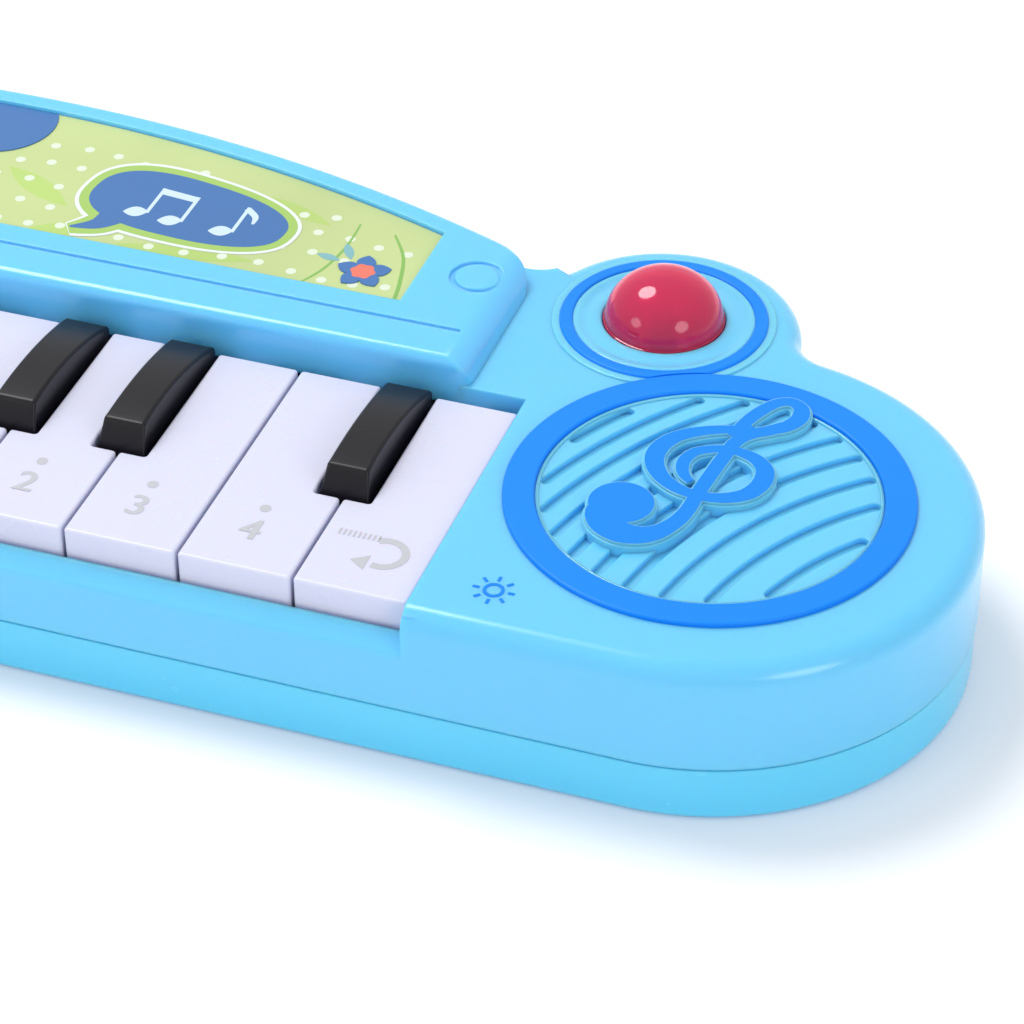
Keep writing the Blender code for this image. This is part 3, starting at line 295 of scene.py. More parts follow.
def turned(name: str, profile: Sequence[Point], centre: Point, steps: int = 96) -> bpy.types.Object:
    """Turn a closed (radius, z) profile about an upright axis.

    Args:
        name: Name of the piece.
        profile: Points round the section, in order.
        centre: The axis, as (x, y).
        steps: Number of steps round the axis.

    Returns:
        A closed piece at the origin.
    """
    deselect()
    bpy.ops.mesh.primitive_circle_add(vertices=len(profile), radius=1.0, fill_type="NOTHING")
    piece = bpy.context.object
    piece.name = name
    for vert, (radius, z) in zip(piece.data.vertices, profile):
        vert.co = (radius, 0.0, z)
    form = bmesh.new()
    form.from_mesh(piece.data)
    on_axis = [edge for edge in form.edges if all(vert.co.x < 1e-9 for vert in edge.verts)]
    bmesh.ops.delete(form, geom=on_axis, context="EDGES_FACES")
    form.to_mesh(piece.data)
    form.free()
    screw = piece.modifiers.new("turn", "SCREW")
    screw.steps = screw.render_steps = steps
    screw.use_merge_vertices = True
    screw.merge_threshold = 1e-6
    apply_all(piece)
    piece.data.transform(Matrix.Translation((*centre, 0.0)))
    return outward(piece)


def boolean(piece: bpy.types.Object, others: Iterable[bpy.types.Object], operation: str) -> bpy.types.Object:
    """Cut, join or intersect a piece with others, which are used up."""
    for other in others:
        modifier = piece.modifiers.new("fit", "BOOLEAN")
        modifier.operation = operation
        modifier.solver = "EXACT"
        modifier.object = other
        apply_all(piece)
        bpy.data.objects.remove(other, do_unlink=True)
    return piece


def cut(piece: bpy.types.Object, *others: bpy.types.Object) -> bpy.types.Object:
    """Cut other pieces out of a piece."""
    return boolean(piece, others, "DIFFERENCE")


def fuse(piece: bpy.types.Object, *others: bpy.types.Object) -> bpy.types.Object:
    """Fuse other pieces onto a piece."""
    return boolean(piece, others, "UNION")


def combine(pieces: Sequence[bpy.types.Object]) -> bpy.types.Object:
    """Join pieces into one object, each keeping its own closed body."""
    choose(pieces[0])
    for piece in pieces[1:]:
        piece.select_set(True)
    bpy.ops.object.join()
    return pieces[0]


def round_edges(piece: bpy.types.Object, width: float, segments: int,
                chosen: Callable[[Vector, Vector], bool]) -> bpy.types.Object:
    """Round the sharp edges whose two ends a test accepts.

    Args:
        piece: The piece.
        width: Width of the rounding.
        segments: Number of strips in it.
        chosen: Takes both ends of an edge.

    Returns:
        The piece.
    """
    form = bmesh.new()
    form.from_mesh(piece.data)
    layer = form.edges.layers.float.new("bevel_weight_edge")
    for edge in form.edges:
        first, second = (vert.co for vert in edge.verts)
        if edge.calc_face_angle(0.0) > 0.6 and chosen(first, second):
            edge[layer] = 1.0
    form.to_mesh(piece.data)
    form.free()
    bevel = piece.modifiers.new("rounding", "BEVEL")
    bevel.limit_method = "WEIGHT"
    bevel.width = width
    bevel.segments = segments
    bevel.use_clamp_overlap = False
    apply_all(piece)
    return piece


def at_height(height: float) -> Callable[[Vector, Vector], bool]:
    """Test for edges that lie flat at a height."""
    return lambda first, second: abs(first.z - height) < 1e-6 and abs(second.z - height) < 1e-6


def dress(piece: bpy.types.Object, finish: Finish, body: str = CASE, replaces: Sequence[str] = (),
          angle: float = 32.0) -> bpy.types.Object:
    """Shade a finished piece, give it its finish and tie it to the frame.

    Args:
        piece: The piece.
        finish: Its finish.
        body: Body that it rides on.
        replaces: CAD nodes that it stands for.
        angle: Edges sharper than this stay sharp, in degrees.

    Returns:
        The piece.
    """
    choose(piece)
    piece.data.materials.clear()
    piece.data.materials.append(finish.material())
    bpy.ops.object.shade_smooth_by_angle(angle=math.radians(angle))
    level = piece.modifiers.new("flat_first", "WEIGHTED_NORMAL")
    level.keep_sharp = True
    apply_all(piece)
    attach(piece, body)
    if replaces:
        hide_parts(*replaces)
    LOG.info("%s: %d faces", piece.name, len(piece.data.polygons))
    return piece


# ---- Outlines -----------------------------------------------------------------------------------
def arc(centre: Point, radius: float, start: float, end: float, count: int) -> Outline:
    """Points on an arc between two angles in radians, both ends included."""
    angles = [start + (end - start) * step / count for step in range(count + 1)]
    return [(centre[0] + radius * math.cos(a), centre[1] + radius * math.sin(a)) for a in angles]


def circle(centre: Point, radius: float, count: int = 96) -> Outline:
    """Points around a circle."""
    return arc(centre, radius, 0.0, 2 * math.pi, count)[:-1]


def bearing(start: Point, end: Point) -> float:
    """Angle of the direction from one point to another."""
    return math.atan2(end[1] - start[1], end[0] - start[0])


def meeting(first: Point, first_radius: float, second: Point, second_radius: float, side: int) -> Point:
    """Crossing of two circles, left (1) or right (-1) of the line between their centres."""
    step_x, step_y = second[0] - first[0], second[1] - first[1]
    apart = math.hypot(step_x, step_y)
    along = (first_radius ** 2 - second_radius ** 2 + apart ** 2) / (2 * apart)
    aside = side * math.sqrt(first_radius ** 2 - along ** 2)
    return (first[0] + (along * step_x - aside * step_y) / apart,
            first[1] + (along * step_y + aside * step_x) / apart)


def both_sides(half: Outline) -> Outline:
    """Mirror a half outline that runs from the front to the back middle on the +X side."""
    return half + [(-x, y) for x, y in reversed(half) if x > 1e-6]


def rounded(outline: Outline, radius: float, count: int = 4) -> Outline:
    """Replace each corner of an outline by a small arc.

    Args:
        outline: Corner points, anticlockwise.
        radius: Radius of every corner.
        count: Strips in each arc.

    Returns:
        The rounded outline.
    """
    points: Outline = []
    for index, corner in enumerate(outline):
        here = Vector(corner)
        to_last = (Vector(outline[index - 1]) - here).normalized()
        to_next = (Vector(outline[(index + 1) % len(outline)]) - here).normalized()
        half = to_last.angle(to_next) / 2
        centre = here + (to_last + to_next).normalized() * radius / math.sin(half)
        start = here + to_last * radius / math.tan(half) - centre
        end = here + to_next * radius / math.tan(half) - centre
        turn = start.angle_signed(end)
        first = math.atan2(start.y, start.x)
        points += arc(tuple(centre), radius, first, first - turn, count)
    return points


def smooth_path(stops: Sequence[Sequence[float]], steps: int = 6) -> list[list[float]]:
    """Catmull-Rom points through stops of any dimension."""
    points = []
    for index in range(len(stops) - 1):
        a, b = stops[max(index - 1, 0)], stops[index]
        c, d = stops[index + 1], stops[min(index + 2, len(stops) - 1)]
        for step in range(steps):
            t = step / steps
            points.append([0.5 * (2 * q + (r - p) * t + (2 * p - 5 * q + 4 * r - s) * t * t
                                  + (3 * q - p - 3 * r + s) * t ** 3) for p, q, r, s in zip(a, b, c, d)])
    return points + [list(stops[-1])]


def ribbon(stops: Sequence[Sequence[float]], centre: Point, steps: int = 6) -> Outline:
    """Outline of a stroke through stops (x, y, width) in millimetres about a centre."""
    points = smooth_path(stops, steps)
    left, right = [], []
    for index, (x, y, width) in enumerate(points):
        before, after = points[max(index - 1, 0)], points[min(index + 1, len(points) - 1)]
        along = Vector((after[0] - before[0], after[1] - before[1])).normalized()
        out = Vector((-along.y, along.x)) * width / 2
        left.append((centre[0] + (x + out.x) * MM, centre[1] + (y + out.y) * MM))
        right.append((centre[0] + (x - out.x) * MM, centre[1] + (y - out.y) * MM))
    return right + left[::-1]


# ---- Case ---------------------------------------------------------------------------------------
@dataclass
class CaseSizes:
    """Sizes that the shells share with the frame, and the places worked out from them."""

    depth: float = 120.2 * MM
    height: float = 30.6 * MM
    wall: float = 2.2 * MM
    end_radius: float = 45.1 * MM
    lobe_radius: float = 24.2 * MM
    back_radius: float = 275.8 * MM
    hollow: float = 8.0 * MM
    rim: float = 4.0 * MM
    seam: float = 10.6 * MM
    seam_gap: float = 0.4 * MM
    seam_shadow: float = 0.2 * MM
    lower_inset: float = 0.3 * MM
    well_x: float = 120.0 * MM
    end_out: float = 37.2 * MM
    lobe_in: float = 22.05 * MM
    lobe_back: float = 46.2 * MM
    key_set_back: float = 4.2 * MM
    well_depth: float = 57.0 * MM
    rail_gap: float = 0.7 * MM
    rail_inner: float = 5.7 * MM
    rail_outer: float = 8.5 * MM
    rail_round: float = 1.6 * MM
    console_rise: float = 5.0 * MM
    console_side: float = 10.0 * MM
    console_set: float = 0.8 * MM
    console_corner: float = 12.0 * MM
    console_edge: float = 2.2 * MM
    console_roll: float = 6.0 * MM
    console_front_corner: float = 2.5 * MM

    def __post_init__(self) -> None:
        """Work out the places that several pieces use."""
        self.front = -self.depth / 2
        self.keys_y = self.front + self.key_set_back
        self.well_y = self.keys_y + self.well_depth
        self.disc = (self.well_x + self.end_out, self.front + self.end_radius)
        self.lamp = (self.disc[0] - self.lobe_in, self.disc[1] + self.lobe_back)
        self.back_centre = (0.0, self.depth / 2 - self.back_radius)
        self.console_x = self.well_x - self.console_side
        self.console_top = self.height + self.console_rise
        self.roof = self.height - self.wall

    def outline(self, inset: float) -> Outline:
        """Plan of the case, moved inward by an inset."""
        end_r, lobe_r = self.end_radius - inset, self.lobe_radius - inset
        back_r, fillet = self.back_radius - inset, self.hollow + inset
        side = meeting(self.disc, end_r + fillet, self.lamp, lobe_r + fillet, -1)
        rear = meeting(self.lamp, lobe_r + fillet, self.back_centre, back_r + fillet, -1)
        turn = 2 * math.pi
        half = arc(self.disc, end_r, -math.pi / 2, bearing(self.disc, side), 56)
        half += arc(side, fillet, bearing(side, self.disc), bearing(side, self.lamp), 12)[1:]
        half += arc(self.lamp, lobe_r, bearing(self.lamp, side), bearing(self.lamp, rear), 36)[1:]
        half += arc(rear, fillet, bearing(rear, self.lamp) + turn, bearing(rear, self.back_centre) + turn, 12)[1:]
        half += arc(self.back_centre, back_r, bearing(self.back_centre, rear), math.pi / 2, 36)[1:]
        return both_sides(half)

    def console_outline(self, inset: float) -> Outline:
        """Plan of the raised console, moved inward by an inset."""
        corner, side = self.console_corner - inset, self.console_x - inset
        radius = self.back_radius - self.console_set - inset
        centre_x = side - corner
        centre = (centre_x, self.back_centre[1] + math.sqrt((radius - corner) ** 2 - centre_x ** 2))
        turn = bearing(self.back_centre, centre)
        near = self.console_front_corner
        half = arc((side - near, self.well_y + inset + near), near, -math.pi / 2, 0.0, 8)
        half += arc(centre, corner, 0.0, turn, 16)
        half += arc(self.back_centre, radius, turn, math.pi / 2, 36)[1:]
        return both_sides(half)

    def label_outline(self, inset: float) -> Outline:
        """Plan of the label recess, moved inward by an inset."""
        side = self.console_x - 18.0 * MM - inset
        radius = self.back_radius - self.console_set - 5.0 * MM - inset
        front = self.well_y + 14.3 * MM + inset
        half = [(side, front)] + arc(self.back_centre, radius, math.acos(side / radius), math.pi / 2, 30)
        return both_sides(half)


@dataclass
class Shells:
    """Upper shell, raised console and lower shell."""

    sizes: CaseSizes
    slot_width: float = 2.2 * MM
    ring_inner: float = 28.2 * MM
    hole_radius: float = 15.6 * MM

    def build(self) -> None:
        """Model and dress the shells."""
        self.upper()
        self.console()
        self.lower()

    def slots(self, centre: Point) -> list[bpy.types.Object]:
        """Cutters for the curved slots of one grille, each with round ends."""
        pivot = (centre[0] + 70.0 * MM, centre[1] - 40.5 * MM)
        apart, inset = math.hypot(70.0 * MM, 40.5 * MM), self.ring_inner - 1.8 * MM
        half, made, radius = self.slot_width / 2, [], apart + inset
        while radius > apart - inset:
            ends = [meeting(pivot, radius, centre, self.ring_inner - 1.3 * MM, side) for side in (1, -1)]
            start, stop = sorted(bearing(pivot, end) % (2 * math.pi) for end in ends)
            outline = arc(pivot, radius + half, start, stop, 20)
            outline += arc(tuple(ends[0] if bearing(pivot, ends[0]) % (2 * math.pi) == stop else ends[1]), half,
                           stop, stop + math.pi, 6)[1:-1]
            outline += arc(pivot, radius - half, stop, start, 20)
            outline += arc(tuple(ends[0] if bearing(pivot, ends[0]) % (2 * math.pi) == start else ends[1]), half,
                           start + math.pi, start + 2 * math.pi, 6)[1:-1]
            made.append(solid("slot", outline, self.sizes.roof - 1.0 * MM, self.sizes.height + 1.0 * MM))
            index = len(made)
            radius = apart + inset - 4.03 * MM * index - 0.174 * MM * index ** 2
        return made

    def rail_cutter(self) -> bpy.types.Object:
        """Cutter above the front rail: a slope with a rounded outer edge."""
        s = self.sizes
        slope = math.atan2(s.rail_outer - s.rail_inner, s.key_set_back)
        turn = math.pi / 2 - slope
        tangent = s.rail_round * math.tan(turn / 2)
        outer_z = s.height - s.rail_outer - tangent
        curve = arc((s.front + s.rail_round, outer_z), s.rail_round, math.pi, math.pi - turn, 8)
        over = s.height + 8.0 * MM
        line = [(s.front - 3.0 * MM, outer_z)] + curve + [(s.keys_y, s.height - s.rail_inner)]
        line += [(s.keys_y, over), (s.front - 3.0 * MM, over)]
        return solid("rail_cutter", line, -s.well_x, s.well_x, Way.ACROSS)

    def upper(self) -> None:
        """Upper shell: rounded rim, key well, front rail, grille slots and lamp holes."""
        s = self.sizes
        shell = solid("upper_shell", s.outline(0.0), s.seam + s.seam_gap, s.height)
        flat = at_height(s.height)
        beyond = s.console_x + 2.0 * MM
        round_edges(shell, s.rim, 8, lambda a, b: flat(a, b) and (a.y < 0 or min(abs(a.x), abs(b.x)) > beyond))
        cut(shell, solid("hollow", s.outline(s.wall), s.seam - 2.0 * MM, s.roof))
        rib = 2.0 * MM
        span = (-s.well_x - rib / 2, s.well_x + rib / 2)
        for side in (-1, 1):
            x = sorted((side * s.well_x, side * (s.well_x + rib)))
            fuse(shell, box("rib", x, (s.front + 1.1 * MM, s.well_y + 8.0 * MM), (19.0 * MM, s.height - rib / 2)))
        fuse(shell, box("rail", span, (s.front + rib / 2, s.keys_y - s.rail_gap),
                        (s.height - 12.0 * MM, s.height - s.rail_inner + rib / 2)))
        fuse(shell, box("skirt", span, (s.well_y, s.well_y + s.wall), (26.6 * MM, s.height - rib / 2)))
        well = box("well", (-s.well_x, s.well_x), (s.keys_y - s.rail_gap, s.well_y + 0.05 * MM),
                   (12.0 * MM, 50.0 * MM))
        cut(shell, self.rail_cutter(), well)
        for side in (-1, 1):
            hole = circle((side * s.lamp[0], s.lamp[1]), self.hole_radius)
            cut(shell, solid("lamp_hole", hole, s.roof - 1.0 * MM, s.height + 1.0 * MM))
            centre = (side * s.disc[0], s.disc[1])
            cut(shell, *self.slots(centre))
            section = [(0.0, s.roof - 0.2 * MM), (0.0, s.height - 1.1 * MM),
                       (self.ring_inner - 0.3 * MM, s.height - 1.1 * MM), (self.ring_inner, s.roof - 0.2 * MM)]
            # The grille floor takes the painted-lighter relief blue, a painted brightening of the sunken floor.
            dress(turned(f"grille_floor_{'lr'[side > 0]}", section, centre), RELIEF_PAINTED_LIGHTER)
        dress(shell, SKY, replaces=["upper_case"])

    def console(self) -> None:
        """Raised console with rolled ends, label recess, groove and round marks."""
        s = self.sizes
        top, low, margin = s.console_top, s.height - 4.0 * MM, 1.0 * MM
        console = solid("console", s.console_outline(0.0), low, top)
        round_edges(console, s.console_edge, 6, at_height(top))
        roll, half = top - s.console_roll, s.console_x - s.console_roll
        line = [(s.console_x, low - margin)]
        line += arc((half, roll), s.console_roll, 0.0, math.pi / 2, 18)
        line += arc((-half, roll), s.console_roll, math.pi / 2, math.pi, 18) + [(-s.console_x, low - margin)]
        boolean(console, [solid("roll", line, s.front, -s.front + s.wall, Way.BACK)], "INTERSECT")
        recess = solid("recess", rounded(s.label_outline(0.0), 0.05 * MM, 1), top - 1.5 * MM, top + 2.0 * MM)
        groove_x, groove_y = s.console_x - 5.0 * MM, s.well_y + 8.5 * MM
        groove = box("groove", (-groove_x, groove_x), (groove_y, groove_y + 0.8 * MM),
                     (top - 0.5 * MM, top + 2 * MM))
        under = box("under", (-s.well_x, s.well_x), (s.well_y + s.wall, s.depth), (0.0, s.height - 2.0 * MM))
        cut(console, recess, groove, under)
        mark_x = s.console_x - 7.8 * MM
        reach = s.back_radius - s.console_set - s.console_corner
        mark_y = s.back_centre[1] + math.sqrt(reach ** 2 - mark_x ** 2)
        for side in (-1, 1):
            section = [(3.9 * MM, top + 1.0 * MM), (3.9 * MM, top - 0.5 * MM), (4.9 * MM, top - 0.5 * MM),
                       (4.9 * MM, top + 1.0 * MM)]
            cut(console, turned("mark", section, (side * mark_x, mark_y)))
        dress(console, SKY)

    def lower(self) -> None:
        """Lower shell with its openings."""
        s = self.sizes
        shell = solid("lower_shell", s.outline(s.lower_inset), 0.0, s.seam - s.seam_shadow)
        round_edges(shell, 1.6 * MM, 5, at_height(0.0))
        cut(shell, solid("tub", s.outline(s.lower_inset + s.wall), 2.0 * MM, s.seam + 2.0 * MM))
        margin = 0.3 * MM
        (x0, y0, _), (x1, y1, _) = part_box("battery_door")
        (_, sy0, _), (_, sy1, _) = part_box("battery_door_screw")
        half = (sy1 - sy0) / 2 + 1.8 * MM + margin
        middle = (sy0 + sy1) / 2
        bay = box("bay", (x0 - margin, -x0 + margin), (y0 - margin, y1 + margin), (-1.0 * MM, 5.0 * MM))
        ear = box("ear", (0.0, x1 + margin), (middle - half, middle + half), (-1.0 * MM, 5.0 * MM))
        cut(shell, bay, ear)
        for number in range(1, 7):
            low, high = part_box(f"case_screw_{number}")
            centre = ((low[0] + high[0]) / 2, (low[1] + high[1]) / 2)
            cut(shell, solid("head", circle(centre, 2.9 * MM, 48), -1.0 * MM, 5.0 * MM))
        low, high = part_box("power_switch_slider")
        cut(shell, box("window", (low[0] - margin, high[0] + 3.0 * MM + margin),
                       (low[1] - margin, high[1] + margin), (-1.0 * MM, 5.0 * MM)))
        # The lower shell takes the painted-lighter copy of the shell blue, a painted brightening of its shaded
        # walls.
        dress(shell, SKY_LOW_PAINTED_LIGHTER, replaces=["lower_case"])


# ---- Rings, clefs and lamps ---------------------------------------------------------------------
CLEF_LOOP = [(-0.4, 15.5, 2.2), (0.1, 18.6, 2.3), (1.0, 21.6, 2.4), (2.2, 24.3, 2.4), (3.9, 26.8, 2.2),
             (6.1, 27.8, 2.2), (8.1, 26.5, 2.6), (8.6, 23.8, 2.9), (7.4, 21.1, 2.8), (5.6, 19.4, 2.6)]
CLEF_NECK = [(-0.1, 15.0, 3.0), (0.9, 17.4, 3.8), (1.7, 19.0, 2.8)]
CLEF_STEM = [(7.4, 21.2, 2.6), (4.8, 18.8, 2.6), (2.2, 16.8, 2.5), (0.4, 14.0, 2.5), (-0.3, 9.6, 2.5),
             (-0.9, 4.6, 2.5), (-1.4, -0.4, 2.5), (-1.6, -3.9, 2.5), (-1.8, -6.4, 2.6), (-2.4, -9.2, 2.8),
             (-3.5, -11.8, 3.1), (-5.0, -13.9, 3.7), (-7.2, -15.3, 4.4), (-10.2, -15.6, 5.2), (-13.2, -14.2, 5.4),
             (-14.9, -11.4, 5.2), (-14.4, -8.6, 4.8)]
CLEF_SPIRAL = [(-0.5, 17.4, 2.0), (-5.2, 15.4, 2.4), (-9.2, 12.4, 2.8), (-11.1, 8.6, 3.2), (-10.9, 4.6, 3.2),
               (-8.7, 1.0, 2.8), (-5.2, -1.4, 2.4), (-1.2, -2.2, 2.2), (2.9, -1.5, 2.6), (6.1, 0.7, 3.0),
               (7.5, 4.1, 3.2), (7.2, 7.6, 3.0), (5.2, 10.1, 2.6), (2.3, 11.3, 2.2), (-0.8, 11.4, 1.9),
               (-3.6, 10.3, 2.0), (-5.4, 8.8, 2.1), (-6.2, 6.4, 2.2), (-5.9, 4.0, 2.1), (-4.9, 2.2, 1.8),
               (-3.6, 1.0, 1.4)]
CLEF_BULB = (-12.6, -8.0, 5.4)


@dataclass
class EndTrim:
    """Raised rings, treble clef and lamp of one end."""

    sizes: CaseSizes
    side: int
    name: str
    relief: float = 0.8 * MM
    clef_relief: float = 1.5 * MM
    dome_radius: float = 10.7 * MM
    dome_rise: float = 9.6 * MM
    seat_rise: float = 0.7 * MM

    def build(self) -> None:
        """Model and dress the trim."""
        self.disc = (self.side * self.sizes.disc[0], self.sizes.disc[1])
        self.lamp = (self.side * self.sizes.lamp[0], self.sizes.lamp[1])
        self.rings()
        self.clef()
        self.lamp_seat()
        self.dome()

    def band(self, name: str, centre: Point, outer: float, inner: float, rise: float) -> bpy.types.Object:
        """A flat raised ring with rounded shoulders."""
        low, high = self.sizes.height - 1.0 * MM, self.sizes.height + rise
        bend = min(0.45 * MM, rise * 0.8)
        section = [(inner, low)] + arc((inner + bend, high - bend), bend, math.pi, math.pi / 2, 5)
        section += arc((outer - bend, high - bend), bend, math.pi / 2, 0.0, 5) + [(outer, low)]
        return turned(f"{name}_{self.name}", section, centre, 144)

    def rings(self) -> None:
        """Deep blue rings round the grille and the lamp, and the step under the lamp's ring."""
        disc_ring = self.band("grille_ring", self.disc, 33.9 * MM, 28.6 * MM, self.relief)
        dress(disc_ring, DEEP_BLUE)
        # The grille lip and the lamp step take the painted-lighter relief blue, a painted highlight on their
        # raised edges.
        dress(self.band("grille_lip", self.disc, 28.5 * MM, 27.9 * MM, self.relief * 0.5), RELIEF_PAINTED_LIGHTER)
        for name, outer, inner, rise, finish in (("lamp_ring", 18.3, 15.9, self.relief, DEEP_BLUE),
                                                 ("lamp_step", 19.7, 15.7, self.relief * 0.45, RELIEF_PAINTED_LIGHTER)):
            ring = self.band(name, self.lamp, outer * MM, inner * MM, rise)
            gap = circle(self.disc, 34.0 * MM, 144)
            cut(ring, solid("ring_gap", gap, self.sizes.height - 2.0 * MM, self.sizes.height + 2.0 * MM))
            dress(ring, finish)

    def clef_form(self, name: str, grow: float, low: float, high: float) -> bpy.types.Object:
        """Solid treble clef.

        Args:
            name: Name of the piece.
            grow: How much wider every stroke is, in millimetres.
            low: Bottom of the solid.
            high: Top of the solid.

        Returns:
            The fused strokes.
        """
        strokes = [[(x, y, width + grow) for x, y, width in stroke]
                   for stroke in (CLEF_STEM, CLEF_LOOP, CLEF_SPIRAL, CLEF_NECK)]
        form, *others = [solid(name, ribbon(stroke, self.disc), low, high) for stroke in strokes]
        bulb = (self.disc[0] + CLEF_BULB[0] * MM, self.disc[1] + CLEF_BULB[1] * MM)
        return fuse(form, *others, solid("bulb", circle(bulb, (CLEF_BULB[2] + grow / 2) * MM, 64), low, high))

    def clef(self) -> None:
        """Raised treble clef: a light blue stepped body with a painted top."""
        low, high = self.sizes.height - self.sizes.wall + 0.2 * MM, self.sizes.height + self.clef_relief
        # The clef's foot and body take the painted-lighter relief blue, a painted highlight on its raised sides.
        dress(self.clef_form(f"clef_foot_{self.name}", 1.0, low, high - 0.45 * MM), RELIEF_PAINTED_LIGHTER)
        dress(self.clef_form(f"clef_body_{self.name}", 0.35, low, high), RELIEF_PAINTED_LIGHTER)
        dress(self.clef_form(f"clef_paint_{self.name}", 0.0, high - 0.1 * MM, high + 0.05 * MM), DEEP_BLUE)

    def lamp_seat(self) -> None:
        """Gently rounded seat between the lamp's ring and its dome."""
        top, foot = self.sizes.height, self.sizes.height - 4.6 * MM
        outer, rim = 15.95 * MM, self.dome_radius + 0.12 * MM
        section = [(outer, foot), (outer, top + 0.45 * MM)]
        bowl = [(15.6, 0.62), (15.1, 0.60), (14.6, 0.42), (14.0, 0.30), (13.3, 0.36), (12.6, 0.52), (11.9, 0.66),
                (11.3, 0.70), (11.0, 0.62)]
        section += [(radius * MM, top + z * MM) for radius, z in bowl]
        section += [(rim, top + 0.4 * MM), (rim, foot)]
        # The seat takes the painted-lighter relief blue, a painted highlight.
        dress(turned(f"lamp_seat_{self.name}", section, self.lamp, 128), RELIEF_PAINTED_LIGHTER)

    def dome(self) -> None:
        """Clear red dome with a wall and a foot, over the CAD light source."""
        base, top = self.sizes.height + self.seat_rise, self.sizes.height + self.dome_rise
        wall, count = 1.3 * MM, 28
        flange, seat = 12.6 * MM, self.sizes.height - 5.3 * MM

        def quarter(radius: float, height: float) -> Outline:
            """Quarter of a slightly pointed dome, from the axis down to the base."""
            angles = [math.pi / 2 * (1 - step / count) for step in range(count + 1)]
            return [(radius * math.cos(a) ** 0.96 if a < math.pi / 2 else 0.0,
                     base + (height - base) * math.sin(a)) for a in angles]

        inner = self.dome_radius - wall
        section = quarter(self.dome_radius - 0.25 * MM, top)
        section += [(self.dome_radius, base - 0.1 * MM), (self.dome_radius, seat), (flange, seat),
                    (flange, seat - 1.2 * MM), (inner, seat - 1.2 * MM)]
        section += quarter(inner, top - wall)[::-1]
        dress(turned(f"dome_{self.name}", section, self.lamp, 96), RED, replaces=[f"lamp_dome_{self.name}"])
        # Painted light: a white cup inside the dome whose bright colour stands in for the light that fills the
        # lit red lens.
        cup = [(0.0, seat - 1.0 * MM), (0.0, seat - 0.2 * MM), (6.0 * MM, seat - 0.2 * MM),
               (inner - 0.15 * MM, base - 0.8 * MM), (inner - 0.15 * MM, seat - 1.0 * MM)]
        bright_cup_piece = turned(f"lamp_cup_{self.name}", cup, self.lamp, 64)
        dress(bright_cup_piece, WHITE)


